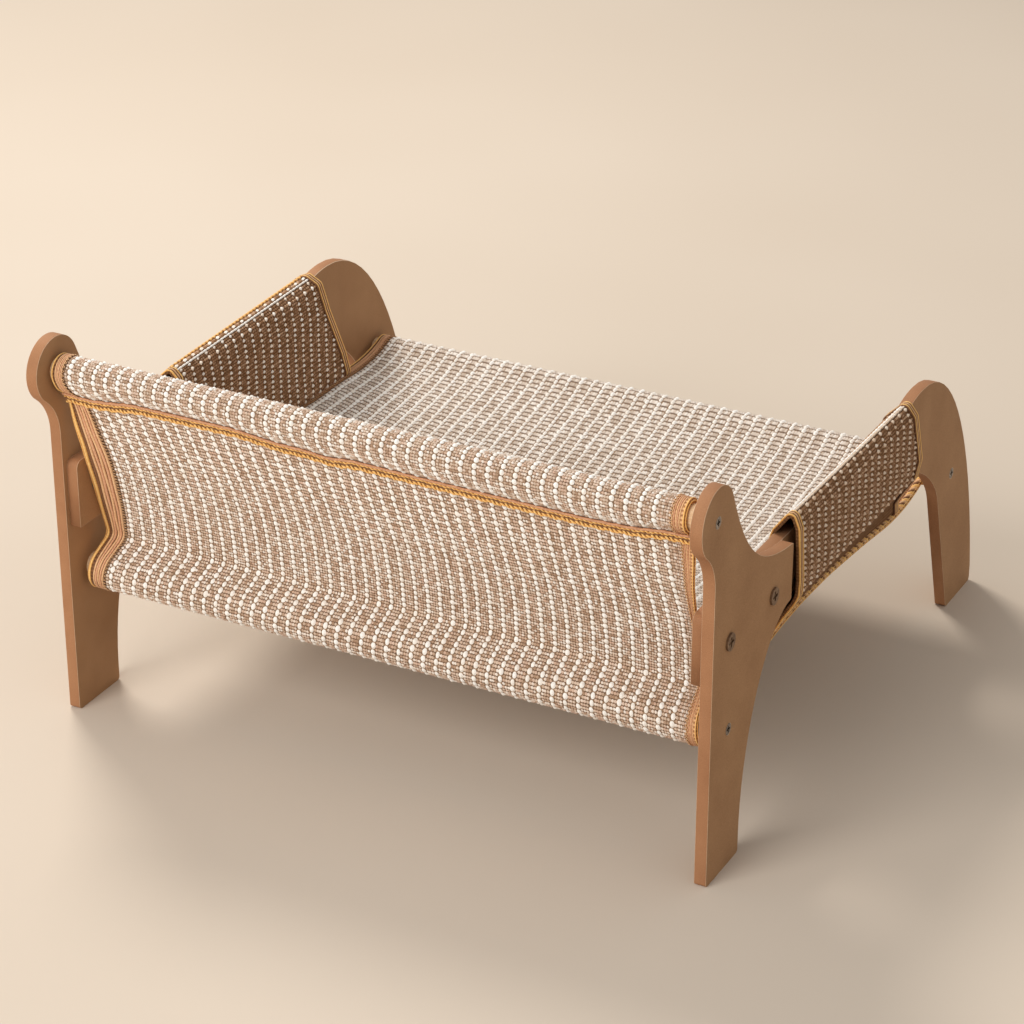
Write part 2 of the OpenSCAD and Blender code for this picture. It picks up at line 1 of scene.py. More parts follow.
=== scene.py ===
import math
from collections import namedtuple

import bmesh
import bpy
import numpy as np
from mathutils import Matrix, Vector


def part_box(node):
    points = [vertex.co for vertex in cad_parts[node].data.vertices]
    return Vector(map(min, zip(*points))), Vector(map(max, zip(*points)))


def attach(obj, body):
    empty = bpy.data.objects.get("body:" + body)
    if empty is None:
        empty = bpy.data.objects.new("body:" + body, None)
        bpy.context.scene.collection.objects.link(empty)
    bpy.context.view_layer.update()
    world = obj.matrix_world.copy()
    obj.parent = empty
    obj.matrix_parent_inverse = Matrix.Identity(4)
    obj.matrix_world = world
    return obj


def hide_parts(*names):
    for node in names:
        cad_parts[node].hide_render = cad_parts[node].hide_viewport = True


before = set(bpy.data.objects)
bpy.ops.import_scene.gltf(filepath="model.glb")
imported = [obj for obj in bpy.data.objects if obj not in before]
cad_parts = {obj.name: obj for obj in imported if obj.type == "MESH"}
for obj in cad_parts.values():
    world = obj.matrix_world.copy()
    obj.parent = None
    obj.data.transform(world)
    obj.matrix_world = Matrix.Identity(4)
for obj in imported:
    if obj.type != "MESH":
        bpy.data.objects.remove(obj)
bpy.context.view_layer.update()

# What cloth and light are made of
Bead = namedtuple("Bead", "half_w height waist fullness crown beats steps")
Patch = namedtuple("Patch", "points weave flip slot keep", defaults=(False, 0, None))
Strand = namedtuple("Strand", "share height radius_share slot")
SeamCord = namedtuple("SeamCord", "offset radius slot")
Corner = namedtuple("Corner", "near far radius front")
Lamp = namedtuple("Lamp", "at size watts tint")

# Chance, and fineness of the meshes
SEED = 7
SLOPE_STEP = 0.0004
TURN_STEPS = 40
SEAT_STEPS = 90
JOIN_DECIMALS = 7
SMALLEST = 1e-12

# Weave of the cloth, in metres
ROW_PITCH = 0.0052
POCKET_ROW = 0.0041
COLUMNS = 46
GROUND_CHAINS = 3
GROUND_START_SHARE = 0.25
GROUND_LOW_SHARE = 0.75
BEAD_UNEVEN = 0.12
BEAD_SHIFT = 0.0003
BEAD_LEAN = 0.0004
BEAD_SINK = 0.0003
ROUND_CROWN = (0, 0.78, 1, 0.78, 0)
# Beads: half width, height, share of the width at the waist, power of the swell, crown across it,
# beads to a row and steps along each
WHITE_BEADS = {"outer": Bead(0.0020, 0.0017, 0.45, 0.85, ROUND_CROWN, 1, 4),
               "inner": Bead(0.0018, 0.0018, 0.75, 0.60, ROUND_CROWN, 1, 4)}
GROUND_BEADS = {"outer": Bead(0.00125, 0.0012, 0.50, 0.70, (0, 1, 1, 0), 2, 3),
                "inner": Bead(0.00140, 0.0013, 0.60, 0.40, (0, 1, 0), 1, 5)}
DOT_BEAD = Bead(0.0021, 0.0018, 0.05, 2.6, ROUND_CROWN, 1, 6)
BASE_T = 0.0017
BASE_STEP = 0.0026
BEAD_MAP_HALF = 0.4
BAKE_EDGE = 0.05

# The sling, as the solids have it
CLOTH_T = 0.003
POCKET_GAP = 0.0004
SEAM_LEN = 0.016
FLAP_PITCH = 0.0034
FOLD_R = 0.008
FOLD_BACK = 0.001
FOLD_UP = 0.027
WRAP_SLACK = 0.0045
SEAT_BACK_ANGLE = math.radians(29)
SEAT_BACK_PULL = 0.148
SEAT_FRONT_ANGLE = math.radians(27)
SEAT_FRONT_PULL = 0.112
SEAT_DIP = 0.032
DIP_END_SHARE = 0.9
LIFT_POWER = 4
BORDER_PLACES = 400
BORDER_SMOOTHING = 9
HEM_T = 0.0044
HEM_TUCK_SHARE = 0.125

# The sling's top seam, drawn in and a little uneven
SEAM_DROP = -0.0003
SEAM_WANDERS = (
    (-0.250, 0.0), (-0.220, 0.0010), (-0.203, -0.0008), (-0.183, -0.0040), (-0.100, -0.0042),
    (-0.065, 0.0), (-0.045, 0.0), (-0.026, 0.0022), (-0.006, -0.0004), (0.050, 0.0006),
    (0.172, 0.0016), (0.205, 0.0), (0.230, -0.0040), (0.250, -0.0045),
)
PINCH = 0.008
PINCH_ABOVE = 0.006
PINCH_BELOW = 0.028
SEAM_LIFT = 0.0026
FRONT_SEAM_INSET = 0.003

# Cords
# The fourth slot is a dark brown braid that also serves as painted shade between strands and cords
GOLD_SLOT, TAN_SLOT, ROSE_SLOT, DARK_BRAID_AND_SHADE_SLOT = range(4)
CORD_STEP = 0.0012
CORD_SIDES = 6
CORD_END_SHARE = 0.1
CHAIN_STITCH = 0.0050
CHAIN_LOBE = 0.2
SEAM_CORDS = [
    SeamCord(-0.0040, 0.0009, ROSE_SLOT),
    SeamCord(-0.0022, 0.0009, ROSE_SLOT),
    SeamCord(0.0002, 0.0012, GOLD_SLOT),
    # A dark cord between the two gold ropes: painted shade between them
    SeamCord(0.0024, 0.0009, DARK_BRAID_AND_SHADE_SLOT),
    SeamCord(0.0048, 0.0013, GOLD_SLOT),
]
SEAM_WAVE = 0.0005
SEAM_WAVE_LEN = 0.011
SEAM_STEP = 0.0006
SEAM_PLY_SHARE = 0.62
SEAM_ROPE_PITCH = 0.0072
SEAM_ROPE_SLOTS = (GOLD_SLOT, GOLD_SLOT)
HEM_EDGE = Strand(1.0, 0.0, 0.060, GOLD_SLOT)
HEM_STRANDS = [
    Strand(0.89, 0.0014, 0.062, GOLD_SLOT),
    # A low dark strand: painted shade in the valley between strands
    Strand(0.76, 0.0006, 0.056, DARK_BRAID_AND_SHADE_SLOT),
    Strand(0.63, 0.0013, 0.058, TAN_SLOT),
    Strand(0.50, 0.0014, 0.058, ROSE_SLOT),
    Strand(0.37, 0.0013, 0.058, TAN_SLOT),
    Strand(0.24, 0.0014, 0.058, ROSE_SLOT),
    Strand(0.11, 0.0013, 0.058, TAN_SLOT),
]
HEM_CORDS_FROM = {"left": 0.0, "right": 0.42}
MARGIN_CHAINS = 4
# The left hem's core is dark, painted shade in its fold; the right hem's core is tan
HEM_CORE_SLOT = {"left": DARK_BRAID_AND_SHADE_SLOT, "right": TAN_SLOT}
HEM_CORE_HALF_T = 0.0014
HEM_CORE_HALF_SHARE = 0.48
HEM_CORE_SIDES = 16
HEM_CORE_ROUNDING = 0.5
HEM_WANDER_SHARE = 0.012
HEM_WANDER_LEN = 0.045
STITCH_PITCH = 0.0028
STITCH_R = 0.0005
STITCH_SIDES = 4
STITCH_SHARES = {"left": (-0.06, 0.14), "right": (0.38, 0.50)}
STITCH_LIFT = 0.0019

# A rope along the seat's right edge
ROPE_SHARE = 0.76
ROPE_PLY_R = 0.0015
ROPE_PITCH = 0.011
# The dark ply is painted shade between the rope's plies
ROPE_SLOTS = (GOLD_SLOT, TAN_SLOT, DARK_BRAID_AND_SHADE_SLOT)
ROPE_SHORT = 0.012

# The sleeves
SLEEVE_FRONT_BACK = 0.162
SLEEVE_FOOT_LIFT = 0.0004
SLEEVE_ROW = 0.00445
SLEEVE_COLUMN = 0.0119
SLEEVE_COLUMN_START_SHARE = 0.35
SLEEVE_COLUMN_STEPS = 40
CORNER_STEPS = 8
STATIONS = 7
FRONT_BINDING_W = 0.0080
BINDING_CORD_R = 0.0009
BINDING_PITCH = 0.00145
BINDING_LIFT = 0.0017
# Dark cords between the gold and tan ones: painted shade between the binding's threads
BINDING_SLOTS = (GOLD_SLOT, DARK_BRAID_AND_SHADE_SLOT, TAN_SLOT, DARK_BRAID_AND_SHADE_SLOT)
CLOSING_CORD_R = 0.0012
CLOSING_LIFT = 0.0022
CLOSING_PLACE = {"left": ("ridge", "outer_top", 0.35), "right": ("inner_low", "inner_high", 0.8)}
RIDGE_CORD_R = 0.0009
RIDGE_LIFT = 0.0012
RIDGE_CORDS = {"left": 1, "right": 4}
RIDGE_CORD_PITCH = 0.0014
RIDGE_START = {"left": -0.0022, "right": -0.0046}
DOT_SLOT, WHITE_SLOT = range(2)
RIDGE_SLOTS = (WHITE_SLOT, DOT_SLOT)

# Boards. The share of x in a normal tells the flat sides from the edges
CHAMFER = 0.0009
CHAMFER_SEGMENTS = 2
CHAMFER_PROFILE = 0.6
BOARD_MERGE = 1e-6
BOARD_FLATNESS = math.radians(0.5)
FLAT_FROM = 0.99
SHARP_BELOW = 0.3
EDGE_BELOW = 0.12

# Noise in the materials, in repeats to a metre, and the depth of their relief
FIBRE_SCALE = 900.0
MOTTLE_SCALE = 500.0
BRAID_STAIN_SCALE = 90.0
SPECK_SCALE = 1500.0
CLOUD_SCALE = 22.0
GRAIN_SCALE = 6.0
GRAIN_STRETCH = (4.0, 120.0, 120.0)
PORE_STRETCH = (25.0, 400.0, 400.0)
METAL_STAIN_SCALE = 350.0
METAL_FINE_SCALE = 2200.0
FLOOR_CLOUD_SCALE = 1.2
BASE_THREADS = 2.0
YARN_PLIES = (2.0, 3.0)
TONES_SPREAD = (0.1, 0.9)
RELIEF = 0.0003
METAL_RELIEF = 0.0001

# Floor and light
FLOOR_HALF = 6.0
LIGHT_AIM = (0, 0, 0.15)
KEY = Lamp(at=(-1.5, 1.0, 2.2), size=0.9, watts=46, tint=(1.0, 0.95, 0.88))
FILL = Lamp(at=(-0.6, -2.4, 1.6), size=1.8, watts=48, tint=(1.0, 0.98, 0.95))
ROOM_TINT = (1.0, 0.975, 0.94, 1.0)
ROOM_STRENGTH = 0.5

# The photograph's camera
CAMERA_AT = (1.0, -1.9206, 1.2122)
CAMERA_YAW = math.radians(27.86)
CAMERA_PITCH = math.radians(26.79)
CAMERA_LENS = 111.02
CAMERA_SENSOR = 36

rng = np.random.default_rng(SEED)


# Paths drawn in a plane
def run_of(angle):
    return np.array([math.cos(angle), math.sin(angle)])


def right_of(angle):
    return np.array([math.sin(angle), -math.cos(angle)])


def heading(start, start_r, end, end_r):
    gap = end - start
    return math.atan2(gap[1], gap[0]) + math.asin((start_r - end_r) / np.linalg.norm(gap))


def turn(center, signed_r, first, last):
    sweep = (last - first) % math.tau if signed_r > 0 else -((first - last) % math.tau)
    angles = [first + sweep * i / TURN_STEPS for i in range(TURN_STEPS + 1)]
    return [center + signed_r * right_of(angle) for angle in angles]


def bezier(a, b, c, d):
    t = np.linspace(0, 1, SEAT_STEPS + 1)[:, None]
    return (1 - t) ** 3 * a + 3 * (1 - t) ** 2 * t * b + 3 * (1 - t) * t**2 * c + t**3 * d


def corner(a, b, c, r):
    to_a, to_c = (a - b) / np.linalg.norm(a - b), (c - b) / np.linalg.norm(c - b)
    half = math.acos(to_a @ to_c) / 2
    middle = (to_a + to_c) / np.linalg.norm(to_a + to_c)
    center = b + middle * r / math.sin(half)
    first, last = b + to_a * r / math.tan(half) - center, b + to_c * r / math.tan(half) - center
    start = math.atan2(first[1], first[0])
    sweep = (math.atan2(last[1], last[0]) - start + math.pi) % math.tau - math.pi
    return [center + r * run_of(start + sweep * i / CORNER_STEPS) for i in range(CORNER_STEPS + 1)]


def lengths_along(points):
    return np.concatenate([[0], np.cumsum(np.linalg.norm(np.diff(points, axis=0), axis=1))])


def unit(vectors):
    return vectors / np.maximum(np.linalg.norm(vectors, axis=-1, keepdims=True), SMALLEST)


def smoothed(values, width):
    padded = np.pad(values, width, mode="edge")
    kernel = np.ones(width) / width
    return np.convolve(np.convolve(padded, kernel, "same"), kernel, "same")[width:-width]


# Meshes
def linked(name, data):
    made = bpy.data.objects.new(name, data)
    bpy.context.scene.collection.objects.link(made)
    return made


def mesh_object(name, patches, materials):
    """One object from grids of points, each with its weave coordinates and a band of the bake map.

    A grid whose weave has one more row or column than its points closes on itself."""
    points, quads, weave, bake, slots, first = [], [], [], [], [], 0
    for number, part in enumerate(patches):
        rows, columns = part.points.shape[:2]
        long, wide = (n - 1 for n in part.weave.shape[:2])
        i, j = np.meshgrid(np.arange(long), np.arange(wide), indexing="ij")
        i = i.reshape(-1, 1) + np.array([0, 1, 1, 0])
        j = j.reshape(-1, 1) + np.array([0, 0, 1, 1])
        index = (i % rows) * columns + j % columns
        if part.keep is not None:
            chosen = part.keep.reshape(-1)[index].all(axis=1)
            i, j, index = i[chosen], j[chosen], index[chosen]
        if part.flip:
            i, j, index = i[:, ::-1], j[:, ::-1], index[:, ::-1]
        points.append(part.points.reshape(-1, 3))
        quads.append(index + first)
        weave.append(part.weave[i, j].reshape(-1, 2))
        along, over = BAKE_EDGE + (1 - 2 * BAKE_EDGE) * np.stack([i / long, j / wide])
        bake.append(np.stack([along, (number + over) / len(patches)], -1).reshape(-1, 2))
        slots.append(np.full(len(index), part.slot, np.int32))
        first += rows * columns
    points, quads = np.concatenate(points), np.concatenate(quads)
    joined, same = np.unique(np.round(points, JOIN_DECIMALS), axis=0, return_inverse=True)
    used, quads = np.unique(same.reshape(-1)[quads], return_inverse=True)
    points, quads = joined[used], quads.reshape(-1, 4)
    mesh = bpy.data.meshes.new(name)
    mesh.vertices.add(len(points))
    mesh.vertices.foreach_set("co", points.astype(np.float32).ravel())
    mesh.loops.add(quads.size)
    mesh.loops.foreach_set("vertex_index", quads.astype(np.int32).ravel())
    mesh.polygons.add(len(quads))
    mesh.polygons.foreach_set("loop_start", np.arange(0, quads.size, 4, dtype=np.int32))
    mesh.polygons.foreach_set("material_index", np.concatenate(slots))
    mesh.polygons.foreach_set("use_smooth", np.ones(len(quads), bool))
    for layer, values in (("Weave", weave), ("OFBake", bake)):
        flat = np.concatenate(values).astype(np.float32).ravel()
        mesh.uv_layers.new(name=layer).data.foreach_set("uv", flat)
    mesh.update(calc_edges=True)
    for material in materials:
        mesh.materials.append(material)
    return linked(name, mesh)


def placed(piece, slot, *nodes):
    """Attaches a piece to the one body and hides the solids that it stands for."""
    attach(piece, "root")
    if nodes:
        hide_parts(*nodes)
    return piece


def point_and_normal(surface, s, across):
    along = surface(s + SLOPE_STEP, across) - surface(s - SLOPE_STEP, across)
    over = surface(s, across + SLOPE_STEP) - surface(s, across - SLOPE_STEP)
    return surface(s, across), unit(np.cross(along, over))


def cloth_patches(surface, s, across, closed=False):
    """The plain base of a woven sheet: both faces and the rims that join them."""
    middle, normal = point_and_normal(surface, s, across)
    outer, inner = middle + normal * BASE_T / 2, middle - normal * BASE_T / 2
    weave = np.stack([across / ROW_PITCH, s / ROW_PITCH], -1)
    if closed:
        weave = np.concatenate([weave, weave[:1]])
    rims = [Patch(np.stack([inner[:, 0], outer[:, 0]], 1), weave[:, :2]),
            Patch(np.stack([outer[:, -1], inner[:, -1]], 1), weave[:, -2:])]
    if not closed:
        rims += [Patch(np.stack([inner[0], outer[0]]), weave[:2]),
                 Patch(np.stack([outer[-1], inner[-1]]), weave[-2:])]
    return [Patch(outer, weave), Patch(inner, weave, flip=True), *rims]


def between(places, share):
    return (1 - share) * places[:-1] + share * places[1:]


def bead_chain(surface, places, centre, bead, face, number, keep=None):
    """One chain of beads along a face of the cloth, whose rows begin at the given places."""
    beads = (len(places) - 1) * bead.beats
    steps = np.arange(beads * bead.steps + 1) / bead.steps
    share = steps % 1
    swell = np.sin(np.pi * share) ** bead.fullness
    which = np.minimum(steps.astype(int), beads - 1)
    size, sway = rng.uniform(-1, 1, (2, beads))[:, which]
    tall = np.where(which % bead.beats, GROUND_LOW_SHARE, 1.0)
    half_w = bead.half_w * (1 + BEAD_UNEVEN * size) * (bead.waist + (1 - bead.waist) * swell)
    height = bead.height * tall * (1 + BEAD_UNEVEN * size) * swell
    sway = (BEAD_SHIFT * sway + BEAD_LEAN * (2 * share - 1)) * swell
    s = np.interp(steps / bead.beats, np.arange(len(places)), places)
    s, profile = np.meshgrid(s, np.linspace(-1, 1, len(bead.crown)), indexing="ij")
    across = centre + sway[:, None] + half_w[:, None] * profile
    middle, normal = point_and_normal(surface, s, across)
    lift = BASE_T / 2 - BEAD_SINK + height[:, None] * np.array(bead.crown)
    along = np.broadcast_to(steps[:, None], s.shape)
    weave = np.stack([number + 0.5 + BEAD_MAP_HALF * profile, along], -1)
    kept = None if keep is None else keep(s, across)
    return Patch(middle + face * lift[..., None] * normal, weave, flip=face < 0, keep=kept)


def frame_along(tangent, side):
    """Two directions square to a thread, the first nearest to a given one."""
    normal = unit(side - (side * tangent).sum(-1, keepdims=True) * tangent)
    return normal, np.cross(tangent, normal)


def cord(points, side, radius, stitch=None, sides=CORD_SIDES, closed=False, slot=0):
    """A thread along points: smooth, or swelling once in each stitch of the given length."""
    if closed:
        tangent = unit(np.roll(points, -1, axis=0) - np.roll(points, 1, axis=0))
        s = lengths_along(np.concatenate([points, points[:1]]))
    else:
        tangent = unit(np.gradient(points, axis=0))
        s = lengths_along(points)
    normal, binormal = frame_along(tangent, side)
    along, around = np.meshgrid(s / (stitch or CORD_STEP), np.arange(sides + 1) / sides,
                                indexing="ij")
    r = np.array(np.broadcast_to(radius, len(points)))
    if stitch:
        r *= 1 + CHAIN_LOBE * (np.cos(math.tau * along[:len(points), 0]) - 0.5)
    if not closed:
        r[[0, -1]] *= CORD_END_SHARE
    angle = math.tau * np.arange(sides)[:, None] / sides
    ring = np.cos(angle) * normal[:, None] + np.sin(angle) * binormal[:, None]
    weave = np.stack([along if stitch else around, along + 0.5], -1)
    return Patch(points[:, None] + r[:, None, None] * ring, weave, flip=True, slot=slot)


def rope(points, side, ply_r, pitch, slots):
    """Plies wound round each other along points."""
    normal, binormal = frame_along(unit(np.gradient(points, axis=0)), side)
    turns = lengths_along(points)[:, None] / pitch
    plies = []
    for k, slot in enumerate(slots):
        angle = math.tau * (turns + k / len(slots))
        out = np.cos(angle) * normal + np.sin(angle) * binormal
        plies.append(cord(points + ply_r * out, out, ply_r, slot=slot))
    return plies


def mirrored(patches, side):
    if side > 0:
        return patches
    return [p._replace(points=p.points * np.array([-1, 1, 1]), flip=not p.flip) for p in patches]


# Materials
def colour(red, green, blue):
    """A linear colour from the values, up to 255, that a screen shows."""
    def linear(value):
        value /= 255
        return value / 12.92 if value <= 0.04045 else ((value + 0.055) / 1.055) ** 2.4
    return (linear(red), linear(green), linear(blue), 1.0)


def grey(value):
    return (value, value, value)


class Look:
    """A node material that is built up step by step."""

    def __init__(self, name, roughness, **sockets):
        self.material = bpy.data.materials.new(name)
        self.material.use_nodes = True
        self.tree = self.material.node_tree
        self.shader = self.tree.nodes["Principled BSDF"]
        self.shader.inputs["Roughness"].default_value = roughness
        for socket, value in sockets.items():
            self.shader.inputs[socket.replace("_", " ")].default_value = value

    def node(self, kind, **inputs):
        node = self.tree.nodes.new("ShaderNode" + kind)
        for socket, value in inputs.items():
            self.plug(node.inputs[socket], value)
        return node

    def plug(self, socket, value):
        if isinstance(value, bpy.types.NodeSocket):
            self.tree.links.new(value, socket)
        else:
            socket.default_value = value

    def place(self):
        return self.node("TexCoord").outputs["Object"]

    def weave_map(self):
        node = self.node("UVMap")
        node.uv_map = "Weave"
        return node.outputs["UV"]

    def weave(self):
        parts = self.node("SeparateXYZ", Vector=self.weave_map())
        return parts.outputs["X"], parts.outputs["Y"]

    def each_bead(self):
        """A number from 0 to 1 that is the same all over one bead."""
        floor = self.node("VectorMath")
        floor.operation = "FLOOR"
        self.plug(floor.inputs[0], self.weave_map())
        return self.node("TexWhiteNoise", Vector=floor.outputs[0]).outputs["Value"]

    def stretched(self, vector, scale):
        return self.node("Mapping", Vector=vector, Scale=scale).outputs["Vector"]

    def noise(self, vector, scale, detail=2.0, roughness=0.55):
        node = self.node("TexNoise", Vector=vector, Scale=scale, Detail=detail, Roughness=roughness)
        return node.outputs["Fac"]

    def maths(self, operation, first, second=0.0, third=0.0):
        node = self.node("Math")
        node.operation = operation
        for socket, value in zip(node.inputs, (first, second, third)):
            self.plug(socket, value)
        return node.outputs[0]

    def wave(self, value):
        """A wave from 0 to 1 with one crest for each whole number."""
        wave = self.maths("COSINE", self.maths("MULTIPLY", value, math.tau))
        return self.maths("MULTIPLY_ADD", wave, 0.5, 0.5)

    def weighted(self, first, share, second, second_share):
        """A share of one value plus a share of another."""
        rest = self.maths("MULTIPLY", second, second_share)
        return self.maths("MULTIPLY_ADD", first, share, rest)

    def ramp(self, value, *stops):
        node = self.node("ValToRGB", Fac=value)
        band = node.color_ramp.elements
        while len(band) < len(stops):
            band.new(0.5)
        for element, (position, shade) in zip(band, stops):
            element.position = position
            element.color = colour(*shade)
        return node.outputs["Color"]

    def mix(self, share, shade, plain):
        """A shade that gives way to one plain colour."""
        node = self.node("MixRGB", Fac=share, Color1=shade, Color2=colour(*plain))
        return node.outputs["Color"]

    def done(self, shade, height=None, strength=None, distance=RELIEF, roughness=None):
        self.plug(self.shader.inputs["Base Color"], shade)
        if height is not None:
            bump = self.node("Bump", Strength=strength, Distance=distance, Height=height)
            self.plug(self.shader.inputs["Normal"], bump.outputs["Normal"])
        if roughness is not None:
            self.plug(self.shader.inputs["Roughness"], roughness)
        return self.material


def woven_base(name, deep, plain, pale):
    """The brown threads that show between the beads, kept dark: partly their own colour, partly
    painted shade in the gaps.
    """
    look = Look(name, roughness=0.95, Specular_IOR_Level=0.1)
    along = look.weave()[1]
    thread = look.wave(look.maths("MULTIPLY", along, BASE_THREADS))
    mottle = look.noise(look.place(), MOTTLE_SCALE)
    level = look.weighted(thread, 0.3, mottle, 0.8)
    shade = look.ramp(level, (0.25, deep), (0.55, plain), (0.85, pale))
    return look.done(shade, thread, strength=0.4)


def bead_yarn(name, seam, tones, ends_from=0.7, ends=150, painted_row_shade=0):
    """Beads of yarn: each has a tone of its own, fine fibres and ends darkened by painted shade.

    The seam colour is painted shade: it comes through at the beads' ends, where they dip under their
    neighbours, and, when asked, on every other row as painted shade between rows."""
    look = Look(name, roughness=0.88, Specular_IOR_Level=0.15, Sheen_Weight=0.15)
    across, along = look.weave()
    fibres = look.noise(look.place(), FIBRE_SCALE)
    ply = look.wave(look.weighted(across, YARN_PLIES[0], along, YARN_PLIES[1]))
    level = look.weighted(look.each_bead(), 0.75, fibres, 0.25)
    stops = zip(np.linspace(*TONES_SPREAD, len(tones)), tones)
    # Bead ends drawn toward the seam colour: painted shade where each bead dips under its neighbours
    end = look.ramp(look.wave(along), (ends_from, grey(0)), (1.0, grey(ends)))
    shade = look.mix(end, look.ramp(level, *stops), seam)
    # Every other row drawn toward the seam colour: painted shade in the gaps between rows
    if painted_row_shade:
        odd = look.wave(look.maths("MULTIPLY_ADD", along, 0.5, 0.25))
        shade = look.mix(look.ramp(odd, (0.3, grey(0)), (0.8, grey(painted_row_shade))), shade, seam)
    return look.done(shade, look.maths("ADD", ply, fibres), strength=0.35)


def braid(name, light, middle, dark):
    """Twisted or stitched thread, paler on its crests and darker between its plies and stitches:
    painted light and shade.
    """
    look = Look(name, roughness=0.7, Specular_IOR_Level=0.3, Sheen_Weight=0.1)
    place = look.place()
    ply = look.weave()[0]
    # ridge is relief and painted light and shade: paler on each ply's outer side, darker between plies
    # and stitches
    ridge = look.wave(ply)
    fibres = look.noise(place, FIBRE_SCALE)
    stain = look.noise(place, BRAID_STAIN_SCALE)
    level = look.weighted(fibres, 0.6, ridge, 0.4)
    thread = look.ramp(level, (0.22, dark), (0.5, middle), (0.78, light))
    shade = look.mix(look.ramp(stain, (0.3, grey(0)), (0.75, grey(110))), thread, middle)
    return look.done(shade, look.maths("ADD", ridge, fibres), strength=0.35)


def fibreboard(name, pale, plain, deep, grain=(1, 1, 1)):
    """Pressed fibreboard: fine specks, faint clouds and a rough nap."""
    look = Look(name, roughness=0.72, Specular_IOR_Level=0.25)
    place = look.place()
    specks = look.noise(look.stretched(place, grain), SPECK_SCALE, detail=3.0, roughness=0.7)
    clouds = look.noise(place, CLOUD_SCALE, detail=3.0)
    level = look.weighted(specks, 0.7, clouds, 0.35)
    shade = look.ramp(level, (0.3, deep), (0.55, plain), (0.8, pale))
    rough = look.maths("MULTIPLY_ADD", specks, 0.25, 0.58)
    return look.done(shade, specks, strength=0.12, roughness=rough)


def rod_wood():
    """Turned pale wood with its grain along the rod."""
    look = Look("rod_wood", roughness=0.6, Specular_IOR_Level=0.3)
    place = look.place()
    grain = look.noise(look.stretched(place, GRAIN_STRETCH), GRAIN_SCALE, detail=4.0, roughness=0.6)
    pores = look.noise(look.stretched(place, PORE_STRETCH), GRAIN_SCALE)
    level = look.weighted(grain, 0.8, pores, 0.25)
    shade = look.ramp(level, (0.3, (190, 148, 106)), (0.52, (222, 188, 148)), (0.75, (236, 210, 176)))
    return look.done(shade, pores, strength=0.15)


def metal(name, light, dark, roughness, metallic):
    """Plated steel with faint stains and a fine grain."""
    look = Look(name, roughness, Metallic=metallic)
    place = look.place()
    stain = look.noise(place, METAL_STAIN_SCALE, detail=3.0)
    fine = look.noise(place, METAL_FINE_SCALE)
    shade = look.ramp(stain, (0.35, dark), (0.7, light))
    rough = look.maths("MULTIPLY_ADD", fine, 0.3, roughness - 0.15)
    return look.done(shade, fine, strength=0.08, distance=METAL_RELIEF, roughness=rough)


def plain_floor():
    look = Look("floor", roughness=0.85, Specular_IOR_Level=0.2)
    clouds = look.noise(look.place(), FLOOR_CLOUD_SCALE)
    shade = look.ramp(clouds, (0.3, (208, 194, 178)), (0.7, (214, 201, 186)))
    return look.done(shade)


# Bases as dark as the gaps between beads look: thread colour and painted shade
BASE = woven_base("woven_base", (100, 78, 60), (134, 108, 85), (168, 140, 114))
DEEP = woven_base("sleeve_base", (88, 56, 32), (118, 84, 56), (150, 116, 86))
WHITE = bead_yarn("white_yarn", seam=(204, 188, 168),
                  tones=[(244, 237, 228), (250, 246, 240), (252, 249, 245)])
# Ground beads with every other row darkened: painted shade between rows
BEIGE = bead_yarn("beige_yarn", seam=(136, 106, 80), ends_from=0.75, painted_row_shade=75,
                  tones=[(166, 132, 106), (200, 171, 148), (224, 203, 184), (210, 175, 152),
                         (238, 221, 206), (247, 239, 230)])
# Seat-side ground: bead ends strongly darkened, painted shadows between the rows
SEAT = bead_yarn("seat_yarn", seam=(62, 50, 42), ends_from=0.6, ends=235,
                 tones=[(196, 178, 162), (216, 200, 186), (230, 217, 205), (244, 236, 228)])
# The sleeves' dots come as a darker and a paler copy of one yarn: painted shade for the right sleeve,
# painted light for the left
SHADED_DOTS = bead_yarn("sleeve_dots_shaded", seam=(150, 112, 80),
                 tones=[(222, 194, 166), (234, 210, 186), (244, 228, 210)])
LIT_DOTS = bead_yarn("sleeve_dots_lit", seam=(168, 130, 98), ends=130,
                      tones=[(246, 230, 212), (251, 241, 229), (253, 248, 241)])
# Sleeve ground with every other row darkened: painted shade between rows
UMBER = bead_yarn("sleeve_yarn", seam=(96, 60, 34), ends=130, painted_row_shade=110,
                  tones=[(132, 94, 62), (156, 116, 82), (178, 138, 106), (206, 170, 138)])
GOLD = braid("gold_braid", (255, 214, 138), (228, 166, 88), (118, 66, 26))
TAN = braid("tan_braid", (238, 198, 152), (208, 154, 106), (122, 76, 42))
ROSE = braid("rose_braid", (230, 180, 142), (196, 138, 100), (112, 68, 42))
# Dark brown thread, used as painted shade: dark cores and cords laid in the valleys between strands
# and ropes
DARK_BRAID_AND_SHADE = braid("hem_core", (140, 96, 60), (106, 68, 40), (72, 42, 22))
BRAIDS = [GOLD, TAN, ROSE, DARK_BRAID_AND_SHADE]
GROUND_YARN = {"outer": BEIGE, "inner": SEAT}
# The left sleeve takes the painted-light copy of the dots, the right sleeve the painted-shade copy
DOT_YARN = {"left": LIT_DOTS, "right": SHADED_DOTS}
FACE = fibreboard("board_face", (192, 152, 113), (172, 131, 93), (147, 107, 73))
EDGE = fibreboard("board_edge", (196, 150, 112), (170, 121, 85), (136, 92, 62), grain=(3, 1, 1))
